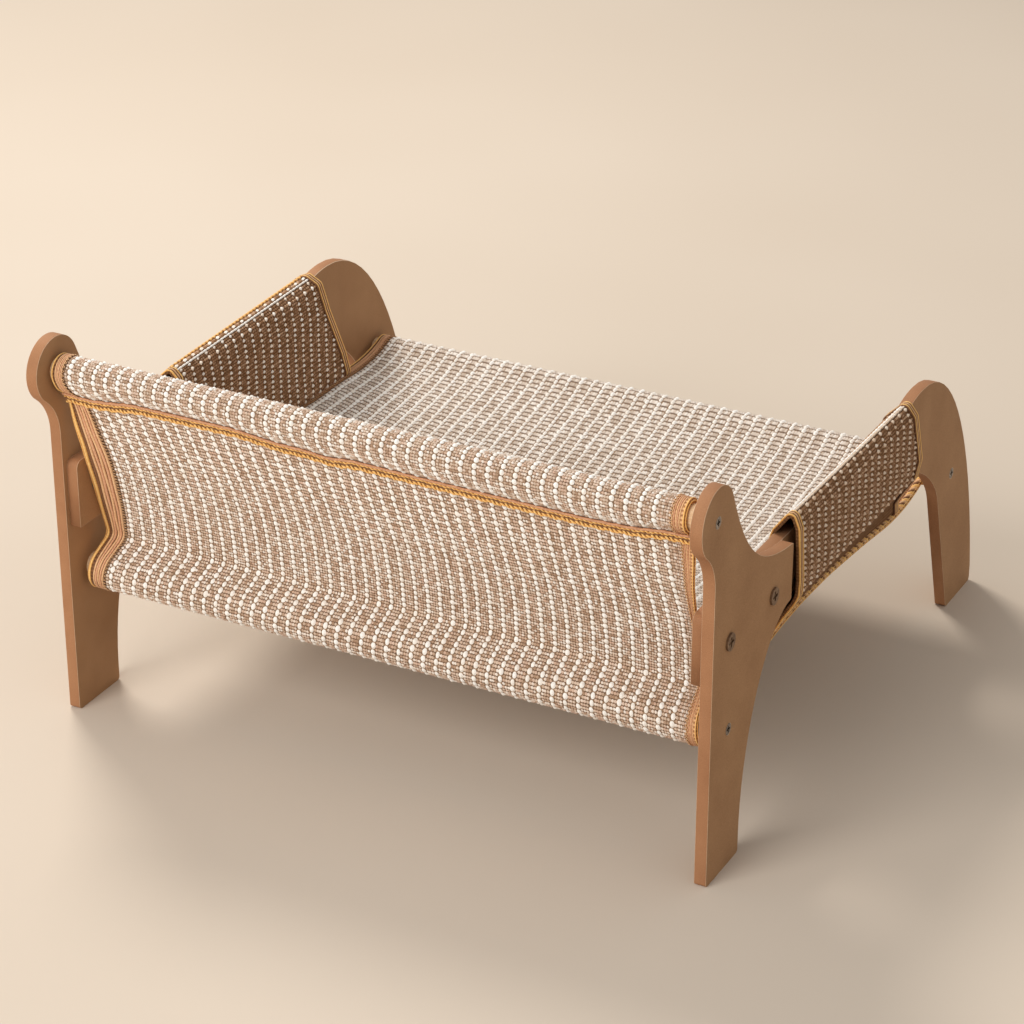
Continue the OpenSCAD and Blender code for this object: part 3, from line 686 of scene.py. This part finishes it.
# Chamfers paler than the board's face: a painted highlight along the eased edges
CHAMFER_HIGHLIGHT = fibreboard("board_chamfer_highlight", (238, 218, 194), (222, 196, 167), (198, 169, 138))
ROD = rod_wood()
BOLT = metal("brown_bolt", (150, 122, 96), (112, 86, 64), roughness=0.5, metallic=0.6)
ZINC = metal("zinc_screw", (172, 160, 148), (108, 98, 90), roughness=0.38, metallic=0.9)


# Boards with eased edges
def eased_board(node):
    """A board from a copy of its solid, with its outline's edges rounded over."""
    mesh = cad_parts[node].data.copy()
    mesh.name = node + "_board"
    work = bmesh.new()
    work.from_mesh(mesh)
    bmesh.ops.remove_doubles(work, verts=work.verts, dist=BOARD_MERGE)
    bmesh.ops.dissolve_limit(work, angle_limit=BOARD_FLATNESS, verts=work.verts, edges=work.edges)
    work.normal_update()
    sharp = [e for e in work.edges if len(e.link_faces) == 2
             and max(abs(f.normal.x) for f in e.link_faces) > FLAT_FROM
             and min(abs(f.normal.x) for f in e.link_faces) < SHARP_BELOW]
    bmesh.ops.bevel(work, geom=sharp, offset=CHAMFER, segments=CHAMFER_SEGMENTS,
                    profile=CHAMFER_PROFILE, affect="EDGES", clamp_overlap=True)
    work.normal_update()
    for face in work.faces:
        flat = abs(face.normal.x)
        # Slot 2, the chamfer faces, takes the pale chamfer colour, a painted highlight
        face.material_index = 0 if flat > FLAT_FROM else 1 if flat < EDGE_BELOW else 2
        face.smooth = flat < FLAT_FROM
    bmesh.ops.triangulate(work, faces=[f for f in work.faces if len(f.verts) > 4])
    mesh.materials.clear()
    for material in (FACE, EDGE, CHAMFER_HIGHLIGHT):
        mesh.materials.append(material)
    work.to_mesh(mesh)
    work.free()
    return placed(linked(node + "_board", mesh), "board", node)


for side in ("left", "right"):
    for board in ("back_post", "front_leg", "side_rail"):
        eased_board(f"{board}_{side}")


# The sling
def rod_centre(node):
    low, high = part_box(node)
    return np.array([(low.y + high.y) / 2, (low.z + high.z) / 2])


TOP_ROD, LOWER_ROD, FRONT_ROD = (rod_centre(n) for n in ("top_rod", "lower_rod", "front_rod"))
ROD_R = (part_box("top_rod")[1].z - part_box("top_rod")[0].z) / 2
SHEET_HALF_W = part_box("sling")[1].x
HEM_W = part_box("sling_hem_right")[1].x - SHEET_HALF_W
COLUMN_PITCH = 2 * SHEET_HALF_W / COLUMNS


def sling_path():
    """Points of the sling from one pocket's loose end to the other's, with the share of sag
    at each, and the lengths along it at which its stretches begin."""
    pocket_r = ROD_R + POCKET_GAP + CLOTH_T / 2
    wrap_r = ROD_R + WRAP_SLACK + CLOTH_T / 2
    fold_at = LOWER_ROD + np.array([-FOLD_BACK, FOLD_UP])
    back = heading(TOP_ROD, pocket_r, fold_at, -FOLD_R)
    tuck = heading(fold_at, -FOLD_R, LOWER_ROD, wrap_r)
    back_start = TOP_ROD + pocket_r * right_of(back)
    seat_start = LOWER_ROD + wrap_r * right_of(SEAT_BACK_ANGLE)
    seat_end = FRONT_ROD - pocket_r * right_of(SEAT_FRONT_ANGLE)
    top_seam = back_start + SEAM_LEN * run_of(back)
    front_seam = seat_end - SEAM_LEN * run_of(SEAT_FRONT_ANGLE)
    top_flap = top_seam - FLAP_PITCH * right_of(back)
    front_flap = front_seam + FLAP_PITCH * right_of(SEAT_FRONT_ANGLE)
    up = heading(top_flap, 0, TOP_ROD, pocket_r)
    down = heading(FRONT_ROD, -pocket_r, front_flap, 0)
    over_top = turn(TOP_ROD, pocket_r, up, back)
    fold = turn(fold_at, -FOLD_R, back, tuck)
    wrap = turn(LOWER_ROD, wrap_r, tuck, SEAT_BACK_ANGLE)
    seat = bezier(seat_start, seat_start + SEAT_BACK_PULL * run_of(SEAT_BACK_ANGLE),
                  seat_end - SEAT_FRONT_PULL * run_of(SEAT_FRONT_ANGLE), seat_end)
    over_front = turn(FRONT_ROD, -pocket_r, SEAT_FRONT_ANGLE, down)
    stretches = [[top_flap], over_top, fold, wrap, seat[1:-1], over_front, [front_flap]]
    points = np.concatenate(stretches)
    t = np.linspace(0, 1, len(seat))[1:-1]
    wave = np.sin(np.pi * np.minimum(t / DIP_END_SHARE, 1))
    sag = np.where(t < DIP_END_SHARE / 2, wave, wave**2)
    names = ("flap", "over_top", "fold", "wrap", "seat", "front", "front_flap")
    starts = dict(zip(names, np.cumsum([0] + [len(stretch) for stretch in stretches])))
    dips = np.zeros(len(points))
    dips[starts["seat"]:starts["front"]] = sag
    s = lengths_along(points)
    marks = {name: s[start] for name, start in starts.items()}
    marks["back"] = s[starts["fold"] - 1]
    marks["end"] = s[-1]
    return points, dips, s, marks


SLING_POINTS, SLING_DIPS, SLING_S, MARK = sling_path()


def on_seat(share):
    """Length along the sling at a share of its seat."""
    return MARK["seat"] + share * (MARK["front"] - MARK["seat"])


def on_back(z):
    """Length along the sling at a height on its back."""
    back = (SLING_S >= MARK["back"]) & (SLING_S <= MARK["wrap"])
    return np.interp(-z, -SLING_POINTS[back, 1], SLING_S[back])


# Places along the sling with x of the sheet's and the hems' borders there, and how far the sleeves
# lift them
BORDER_NAMES = ("sheet_left", "sheet_right", "hem_left", "hem_right", "lift_left", "lift_right")
SLING_BORDERS = np.array([
    (MARK["flap"], -0.2430, 0.2285, -0.2530, 0.2475, 0, 0),
    ((MARK["over_top"] + MARK["back"]) / 2, -0.2430, 0.2285, -0.2530, 0.2452, 0, 0),
    (MARK["back"], -0.2430, 0.2285, -0.2530, 0.2466, 0, 0),
    (on_back(0.262), -0.236, 0.231, -0.2510, 0.2475, 0, 0),
    (on_back(0.240), -0.228, 0.2335, -0.2485, 0.2470, 0, 0),
    (on_back(0.222), -0.222, 0.236, -0.2450, 0.2455, 0, 0),
    (on_back(0.195), -0.221, 0.239, -0.2448, 0.2445, 0, 0),
    (on_back(0.165), -0.224, 0.238, -0.2455, 0.2445, 0, 0),
    (MARK["fold"], -0.228, 0.235, -0.2460, 0.2445, 0, 0),
    ((MARK["wrap"] + MARK["seat"]) / 2, -0.237, 0.235, -0.2510, 0.2500, 0, 0),
    (MARK["seat"], -0.240, 0.238, -0.2525, 0.2515, 0, 0),
    (on_seat(0.25), -0.2415, 0.240, -0.2530, 0.2525, 0, 0.004),
    (on_seat(0.5), -0.2430, 0.242, -0.2535, 0.2530, 0.004, 0.008),
    (on_seat(0.65), -0.2425, 0.242, -0.2535, 0.2530, 0.008, 0.008),
    (on_seat(0.8), -0.2420, 0.241, -0.2535, 0.2530, 0.011, 0.004),
    (MARK["front"], -0.2415, 0.240, -0.2515, 0.2510, 0, 0),
    (MARK["end"], -0.2415, 0.240, -0.2515, 0.2510, 0, 0),
])
BORDER_S = np.linspace(0, MARK["end"], BORDER_PLACES)
BORDERS = {name: smoothed(np.interp(BORDER_S, SLING_BORDERS[:, 0], border), BORDER_SMOOTHING)
           for name, border in zip(BORDER_NAMES, SLING_BORDERS.T[1:])}


def border_at(s, name):
    return np.interp(s, BORDER_S, BORDERS[name])


def lift_at(s, side):
    """How far the sleeve lifts the sling's border on one side."""
    return border_at(s, "lift_right" if side > 0 else "lift_left")


def hem_width(side, s):
    """Width of the hem on one side, which is drawn in where the sling narrows."""
    name = "right" if side > 0 else "left"
    return np.abs(border_at(s, "hem_" + name) - border_at(s, "sheet_" + name))


def seam_at(x):
    """Length along the sling of the top pocket's seam, which wanders a little."""
    return MARK["back"] + SEAM_LEN + SEAM_DROP + np.interp(x, *zip(*SEAM_WANDERS))


def front_seam_at(x):
    return np.full_like(x, MARK["end"] - FRONT_SEAM_INSET)


def sling_surface(s, x):
    """Middle of the sling; x is measured across the sling laid flat."""
    s, x = np.broadcast_arrays(s, x)
    sheet_low, sheet_high, hem_low, hem_high = (border_at(s, name) for name in BORDER_NAMES[:4])
    over = np.maximum(np.abs(x) - SHEET_HALF_W, 0) / HEM_W
    share = (np.clip(x / SHEET_HALF_W, -1, 1) + 1) / 2
    real_x = sheet_low + (sheet_high - sheet_low) * share
    real_x = real_x + np.where(x < 0, hem_low - sheet_low, hem_high - sheet_high) * over
    y = np.interp(s, SLING_S, SLING_POINTS[:, 0])
    z = np.interp(s, SLING_S, SLING_POINTS[:, 1])
    dip = np.interp(s, SLING_S, SLING_DIPS) * np.maximum(0, 1 - (real_x / SHEET_HALF_W) ** 2)
    outward = np.minimum(np.abs(x) / SHEET_HALF_W, 1)
    lift = np.where(x < 0, lift_at(s, -1), lift_at(s, 1)) * outward ** LIFT_POWER
    above = z - np.interp(seam_at(x), SLING_S, SLING_POINTS[:, 1])
    pinch = np.exp(-((above / np.where(above > 0, PINCH_ABOVE, PINCH_BELOW)) ** 2))
    return np.stack([real_x, y + PINCH * pinch, z - SEAT_DIP * dip + lift], -1)


def row_places():
    """Lengths along the sling at which its rows of beads begin. They lie closer round the rods."""
    places = [0.0]
    while places[-1] < MARK["end"] - ROW_PITCH:
        pocket = not MARK["back"] + SEAM_LEN < places[-1] < MARK["front"]
        places.append(places[-1] + (POCKET_ROW if pocket else ROW_PITCH))
    return np.array(places)


def sling():
    """The sling's base, and the white columns and the ground yarn on both of its faces."""
    wide = SHEET_HALF_W + HEM_TUCK_SHARE * HEM_W
    margin = HEM_CORDS_FROM["right"] * HEM_W
    s, x = np.meshgrid(np.linspace(0, MARK["end"], int(MARK["end"] / BASE_STEP)),
                       np.linspace(-wide, wide + margin, 2 * COLUMNS + 1), indexing="ij")
    base = mesh_object("sling_cloth", cloth_patches(sling_surface, s, x), [BASE])
    places = row_places()
    faces = (("outer", places[places < MARK["front"] - SEAM_LEN], 1),
             ("inner", places[places > MARK["back"] + SEAM_LEN], -1))
    yarn = []
    for name, rows, face in faces:
        bead, ground = WHITE_BEADS[name], GROUND_BEADS[name]
        gap = (COLUMN_PITCH - 2 * bead.half_w) / GROUND_CHAINS
        ground_rows = between(rows, GROUND_START_SHARE)
        white, beige = [], []
        for column in range(-1, COLUMNS):
            centre = -SHEET_HALF_W + (column + 0.5) * COLUMN_PITCH
            if column >= 0:
                white.append(bead_chain(sling_surface, rows, centre, bead, face, column))
            for k in range(GROUND_CHAINS):
                beside = centre + bead.half_w + (k + 0.5) * gap
                if abs(beside) < SHEET_HALF_W:
                    beige.append(bead_chain(sling_surface, ground_rows, beside, ground, face,
                                            column * GROUND_CHAINS + k))
        for k in range(MARGIN_CHAINS):
            beside = SHEET_HALF_W + (k + 0.5) * margin / MARGIN_CHAINS
            beige.append(bead_chain(sling_surface, ground_rows, beside, ground, face,
                                    COLUMNS * GROUND_CHAINS + k))
        for tone, chains, look in (("white", white, WHITE), ("beige", beige, GROUND_YARN[name])):
            piece = mesh_object(f"sling_{tone}_yarn_{name}", chains, [look])
            yarn.append(placed(piece, "woven_cloth"))
    return placed(base, "woven_cloth", "sling"), yarn


def on_hem(side, s, share, height):
    """Points over the hem at a share of its width, and the direction out of it."""
    at, out = point_and_normal(sling_surface, s, side * (SHEET_HALF_W + share * HEM_W))
    return at + np.broadcast_to(height, np.shape(s))[..., None] * out, out


def hem_core(side, s, slot, inner):
    """A flat band with rounded edges, from a share of the hem outwards."""
    angle = np.linspace(0, math.tau, HEM_CORE_SIDES + 1)
    bulge = np.sign(np.cos(angle)) * np.abs(np.cos(angle)) ** HEM_CORE_ROUNDING
    lift = np.sign(np.sin(angle)) * np.abs(np.sin(angle)) ** HEM_CORE_ROUNDING
    s_grid = np.repeat(s[:, None], len(angle), axis=1)
    share = inner + (1 - inner) * HEM_CORE_HALF_SHARE * (1 + bulge[:-1])
    points = on_hem(side, s_grid[:, :-1], share, HEM_CORE_HALF_T * lift[:-1])[0]
    weave = np.stack([s_grid / STITCH_PITCH, np.broadcast_to(angle, s_grid.shape)], -1)
    return Patch(points, weave, flip=side < 0, slot=slot)


def hem(side, name):
    """A rolled edge: a flat core, strands along both faces, a gold edge, stitches over the border
    and, on the right, a rope along the seat."""
    s = np.linspace(0, MARK["end"], int(MARK["end"] / CORD_STEP))
    inner = HEM_CORDS_FROM[name]
    parts = [hem_core(side, s, HEM_CORE_SLOT[name], inner)]
    strands = [HEM_EDGE]
    for face in (1, -1):
        strands += [strand._replace(height=face * strand.height) for strand in HEM_STRANDS]
    for k, strand in enumerate(strands):
        wander = HEM_WANDER_SHARE * np.sin(math.tau * s / HEM_WANDER_LEN + k * k)
        share = inner + (1 - inner) * (strand.share + np.where(strand.share < 1, wander, 0))
        at, out = on_hem(side, s, share, strand.height)
        radius = strand.radius_share * (1 - inner) * hem_width(side, s)
        facing = np.sign(strand.height) * out if strand.height else np.array([side, 0, 0])
        parts.append(cord(at, facing, radius, slot=strand.slot))
    s = np.arange(0, MARK["end"], STITCH_PITCH / 2)
    share = np.where(np.arange(len(s)) % 2, *STITCH_SHARES[name])
    for face in (1, -1):
        at, out = on_hem(side, s, share, face * STITCH_LIFT)
        parts.append(cord(at, out, STITCH_R, sides=STITCH_SIDES, slot=TAN_SLOT))
    if side > 0:
        s = np.arange(MARK["seat"], MARK["front"] - ROPE_SHORT, CORD_STEP)
        parts += rope(*on_hem(side, s, ROPE_SHARE, 0), ROPE_PLY_R, ROPE_PITCH, ROPE_SLOTS)
    return placed(mesh_object("hem_" + name, parts, BRAIDS), "gold_braid", "sling_hem_" + name)


def pocket_seam(name, s_at, face, node):
    """Two gold ropes that sway to and fro, beside thinner threads."""
    wide = SHEET_HALF_W + HEM_W
    x = np.linspace(-wide, wide, int(2 * wide / SEAM_STEP))
    parts = []
    for k, row in enumerate(SEAM_CORDS):
        wave = SEAM_WAVE * np.sin(math.tau * x / SEAM_WAVE_LEN + k * math.pi / 2)
        at, out = point_and_normal(sling_surface, s_at(x) + face * row.offset + wave, x)
        at = at + face * SEAM_LIFT * out
        if row.slot == GOLD_SLOT:
            ply_r = SEAM_PLY_SHARE * row.radius
            parts += rope(at, face * out, ply_r, SEAM_ROPE_PITCH, SEAM_ROPE_SLOTS)
        else:
            parts.append(cord(at, face * out, row.radius, slot=row.slot))
    return placed(mesh_object(name, parts, BRAIDS), "gold_braid", node)


sling_cloth, sling_yarn = sling()
hems = [hem(-1, "left"), hem(1, "right")]
seams = [
    pocket_seam("top_pocket_stitching", seam_at, 1, "top_pocket_seam"),
    pocket_seam("front_pocket_stitching", front_seam_at, -1, "front_pocket_seam"),
]
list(sling_yarn)


# The sleeves
SLEEVE_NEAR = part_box("sleeve_back_binding_right")[0].y
SLEEVE_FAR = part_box("front_leg_right")[1].y - SLEEVE_FRONT_BACK
BINDING_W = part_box("sleeve_back_binding_right")[1].y - SLEEVE_NEAR
# Corners of a right-hand sleeve seen along it: (x, z) at its near and its far end, the rounding
# there, and how far the cloth reaches past the front end of the ridge
SLEEVE_CORNERS = {
    "foot": Corner((0.2405, None), (0.2448, None), 0.0025, 0.0275),
    "inner_low": Corner((0.2455, 0.150), (0.2455, 0.150), 0.0100, 0.0210),
    "inner_high": Corner((0.2456, 0.203), (0.2456, 0.203), 0.0060, 0.0050),
    "inner_top": Corner((0.2478, 0.2095), (0.2478, 0.2095), 0.0040, 0.0025),
    "ridge": Corner((0.2595, 0.2255), (0.2630, 0.2250), 0.0022, 0.0),
    "outer_top": Corner((0.2640, 0.214), (0.2682, 0.214), 0.0040, 0.0030),
    "outer_mid": Corner((0.2660, 0.174), (0.2687, 0.174), 0.0200, 0.0155),
    "outer_low": Corner((0.2655, 0.163), (0.2682, 0.162), 0.0040, 0.0095),
    "lower_edge": Corner((0.2630, 0.157), (0.2655, 0.157), 0.0030, -0.0065),
    "underside": Corner((0.2545, 0.143), (0.2550, 0.140), 0.0040, 0.0075),
    "foot_out": Corner((0.2495, None), (0.2505, None), 0.0015, 0.0200),
}
# The left sleeve hangs further in
LEFT_CORNERS = {
    "foot": Corner((0.2405, None), (0.2448, None), 0.0025, 0.0365),
    "inner_low": Corner((0.2455, 0.150), (0.2455, 0.150), 0.0100, 0.0305),
    "inner_high": Corner((0.2456, 0.200), (0.2456, 0.200), 0.0060, 0.0060),
    "inner_top": Corner((0.2485, 0.2195), (0.2490, 0.2195), 0.0040, 0.0025),
    "ridge": Corner((0.2545, 0.2255), (0.2575, 0.2265), 0.0022, 0.0),
    "outer_top": Corner((0.2665, 0.214), (0.2685, 0.2205), 0.0040, 0.0030),
    "foot_out": Corner((0.2495, None), (0.2505, None), 0.0015, 0.0260),
}
SLEEVE_STATIONS = np.linspace(SLEEVE_NEAR, SLEEVE_FAR + LEFT_CORNERS["foot"].front, STATIONS)


class Sleeve:
    """A ring of cloth over a rail, drawn on the right-hand side."""

    def __init__(self, side, name):
        self.side, self.name = side, name
        self.corners = SLEEVE_CORNERS | (LEFT_CORNERS if side < 0 else {})
        self.rings = [self.ring(y) for y in SLEEVE_STATIONS]
        self.ring_s = lengths_along(self.rings[len(self.rings) // 2])
        self.rows = round(self.ring_s[-1] / SLEEVE_ROW)
        self.ring_s *= self.rows * SLEEVE_ROW / self.ring_s[-1]
        fronts = np.repeat([c.front for c in self.corners.values()], CORNER_STEPS + 1)
        self.fronts = np.append(fronts, fronts[0])
        steps = RIDGE_CORD_PITCH * np.arange(RIDGE_CORDS[name])
        self.ridge_cords = self.at_corner("ridge") + RIDGE_START[name] + steps

    def ring(self, y):
        """Outline of the sleeve at one place along it. Its foot stands on the sling's border."""
        share = np.clip((y - SLEEVE_NEAR) / (SLEEVE_FAR - SLEEVE_NEAR), 0, 1)
        seat = SLING_S > MARK["seat"]
        seat_z = SLING_POINTS[seat, 1] + lift_at(SLING_S[seat], self.side)
        foot_z = np.interp(y, SLING_POINTS[seat, 0], seat_z) + HEM_T / 2 + SLEEVE_FOOT_LIFT
        corners = self.corners.values()
        ends = [[(x, foot_z if z is None else z) for x, z in (c.near, c.far)] for c in corners]
        near, far = np.array(ends).transpose(1, 0, 2)
        at = near + (far - near) * share
        arcs = [corner(at[k - 1], at[k], at[(k + 1) % len(at)], c.radius)
                for k, c in enumerate(corners)]
        points = np.concatenate(arcs)
        return np.concatenate([points, points[:1]])

    def at_corner(self, name):
        """Length round the ring of a corner's middle."""
        return self.ring_s[list(self.corners).index(name) * (CORNER_STEPS + 1) + CORNER_STEPS // 2]

    def surface(self, s, y):
        s, y = np.broadcast_arrays(s % self.ring_s[-1], y)
        station = np.interp(y, SLEEVE_STATIONS, np.arange(len(SLEEVE_STATIONS)))
        x, z = np.zeros(s.shape), np.zeros(s.shape)
        for k, ring in enumerate(self.rings):
            weight = np.maximum(0, 1 - np.abs(station - k))
            x += weight * np.interp(s, self.ring_s, ring[:, 0])
            z += weight * np.interp(s, self.ring_s, ring[:, 1])
        return np.stack([x, y, z], -1)

    def front(self, s):
        """Where the cloth ends at the front."""
        return SLEEVE_FAR + np.interp(s % self.ring_s[-1], self.ring_s, self.fronts)

    def piece(self, kind, patches, materials, slot, *nodes):
        piece = mesh_object(f"sleeve_{kind}_{self.name}", mirrored(patches, self.side), materials)
        return placed(piece, slot, *(f"sleeve_{node}{self.name}" for node in nodes))

    def cloth(self):
        s = np.linspace(0, self.ring_s[-1], int(self.ring_s[-1] / BASE_STEP), endpoint=False)
        s, share = np.meshgrid(s, np.linspace(0, 1, SLEEVE_COLUMN_STEPS), indexing="ij")
        y = SLEEVE_NEAR + share * (self.front(s) - SLEEVE_NEAR)
        patches = cloth_patches(self.surface, s, y, closed=True)
        return self.piece("cloth", patches, [DEEP], "woven_cloth", "")

    def covered(self, s, y):
        """Where the ground's beads lie: clear of the front binding, ridge cords and lower strip."""
        s = s % self.ring_s[-1]
        first, last = self.ridge_cords[[0, -1]] + RIDGE_CORD_PITCH / 2 * np.array([-1, 1])
        strip = (self.at_corner("outer_low") + self.at_corner("lower_edge")) / 2
        unbound = y < self.front(s) - FRONT_BINDING_W / 2
        return unbound & ((s < first) | (s > last)) & (s < strip)

    def dotted(self, s, y):
        """Where the dots lie: the right sleeve has none on the inner slope of its top."""
        bare = (self.side > 0) & (s > self.at_corner("inner_high")) & (s < self.at_corner("ridge"))
        return self.covered(s, y) & ~bare

    def yarn(self):
        first, last = SLEEVE_NEAR + BINDING_W, SLEEVE_FAR + max(self.fronts)
        gap = (SLEEVE_COLUMN - 2 * DOT_BEAD.half_w) / GROUND_CHAINS
        rows = np.arange(self.rows + 1) * SLEEVE_ROW
        ground_rows = rows + GROUND_START_SHARE * SLEEVE_ROW
        ground = GROUND_BEADS["outer"]
        white, umber = self.ridge(), []
        for column in range(int((last - first) / SLEEVE_COLUMN)):
            centre = first + (column + SLEEVE_COLUMN_START_SHARE) * SLEEVE_COLUMN
            white.append(bead_chain(self.surface, rows, centre, DOT_BEAD, 1, column, self.dotted))
            for k in range(GROUND_CHAINS):
                beside = centre + DOT_BEAD.half_w + (k + 0.5) * gap
                umber.append(bead_chain(self.surface, ground_rows, beside, ground, 1,
                                        column * GROUND_CHAINS + k, self.covered))
        return [self.piece("white_yarn", white, [DOT_YARN[self.name], WHITE], "woven_cloth"),
                self.piece("umber_yarn", umber, [UMBER], "woven_cloth")]

    def along(self, s, lift, radius, slot=0):
        """A row of stitches along the sleeve."""
        y = np.arange(SLEEVE_NEAR + BINDING_W, SLEEVE_FAR - FRONT_BINDING_W / 2, CORD_STEP)
        at, out = point_and_normal(self.surface, np.full_like(y, s), y)
        return cord(at + lift * out, out, radius, CHAIN_STITCH, slot=slot)

    def ridge(self):
        """Pale rows of yarn along the top."""
        return [self.along(s, RIDGE_LIFT, RIDGE_CORD_R, RIDGE_SLOTS[k % len(RIDGE_SLOTS)])
                for k, s in enumerate(self.ridge_cords)]

    def binding(self, end):
        """Cords laid side by side round the end of the sleeve."""
        s = np.linspace(0, self.ring_s[-1], int(self.ring_s[-1] / CORD_STEP), endpoint=False)
        width = BINDING_W if end == "back" else FRONT_BINDING_W
        cords = round(width / BINDING_PITCH)
        parts = []
        for k in range(cords):
            step = (k + 0.5) * width / cords
            y = SLEEVE_NEAR + step if end == "back" else self.front(s) - step
            at, out = point_and_normal(self.surface, s, y)
            slot = BINDING_SLOTS[k % len(BINDING_SLOTS)]
            parts.append(cord(at + BINDING_LIFT * out, out, BINDING_CORD_R, closed=True, slot=slot))
        return self.piece(f"{end}_cords", parts, BRAIDS, "gold_braid", f"{end}_binding_")

    def closing(self):
        """The closing seam beside the top: two rows of chain stitches."""
        first, second, share = CLOSING_PLACE[self.name]
        middle = (1 - share) * self.at_corner(first) + share * self.at_corner(second)
        parts = [self.along(middle + shift * CLOSING_CORD_R, CLOSING_LIFT, CLOSING_CORD_R)
                 for shift in (-1, 1)]
        return self.piece("closing", parts, BRAIDS, "gold_braid", "seam_")


for side, name in ((-1, "left"), (1, "right")):
    sleeve = Sleeve(side, name)
    cloth = sleeve.cloth()
    trim = [*sleeve.yarn(), sleeve.binding("back"), sleeve.binding("front"), sleeve.closing()]
    SLEEVE_FAR + np.mean(sleeve.fronts) - SLEEVE_NEAR


# Rods and fasteners keep their solids
def dressed(material, *nodes):
    for node in nodes:
        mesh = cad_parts[node].data
        mesh.materials.clear()
        mesh.materials.append(material)


dressed(ROD, "top_rod", "lower_rod", "front_rod")
dressed(BOLT, *(f"{end}_rail_bolts_{side}" for end in ("back", "front") for side in ("left", "right")))
dressed(ZINC, "rail_inserts_left", "rail_inserts_right",
        "top_rod_screws", "lower_rod_screws", "front_rod_screws")


# Floor, light and camera
def stage():
    mesh = bpy.data.meshes.new("floor")
    corners = [(FLOOR_HALF * x, FLOOR_HALF * y, 0) for x, y in ((-1, -1), (1, -1), (1, 1), (-1, 1))]
    mesh.from_pydata(corners, [], [(0, 1, 2, 3)])
    mesh.materials.append(plain_floor())
    floor = linked("floor", mesh)


def add_lamp(name, lamp):
    data = bpy.data.lights.new(name, "AREA")
    data.shape = "DISK"
    data.size = lamp.size
    data.energy = lamp.watts
    data.color = lamp.tint
    light = linked(name, data)
    light.location = lamp.at
    toward = np.array(LIGHT_AIM) - np.array(lamp.at)
    light.rotation_euler = (math.atan2(np.hypot(toward[0], toward[1]), -toward[2]), 0,
                            math.atan2(-toward[0], toward[1]))


def lighting():
    add_lamp("key", KEY)
    add_lamp("fill", FILL)
    world = bpy.data.worlds.new("room")
    world.use_nodes = True
    back = world.node_tree.nodes["Background"]
    back.inputs["Color"].default_value = ROOM_TINT
    back.inputs["Strength"].default_value = ROOM_STRENGTH
    bpy.context.scene.world = world


def camera():
    data = bpy.data.cameras.new("camera")
    data.lens = CAMERA_LENS
    data.sensor_width = CAMERA_SENSOR
    eye = linked("camera", data)
    eye.location = CAMERA_AT
    eye.rotation_euler = (math.pi / 2 - CAMERA_PITCH, 0, CAMERA_YAW)
    bpy.context.scene.camera = eye


stage()
lighting()
camera()
bpy.context.scene.view_settings.view_transform = "Standard"
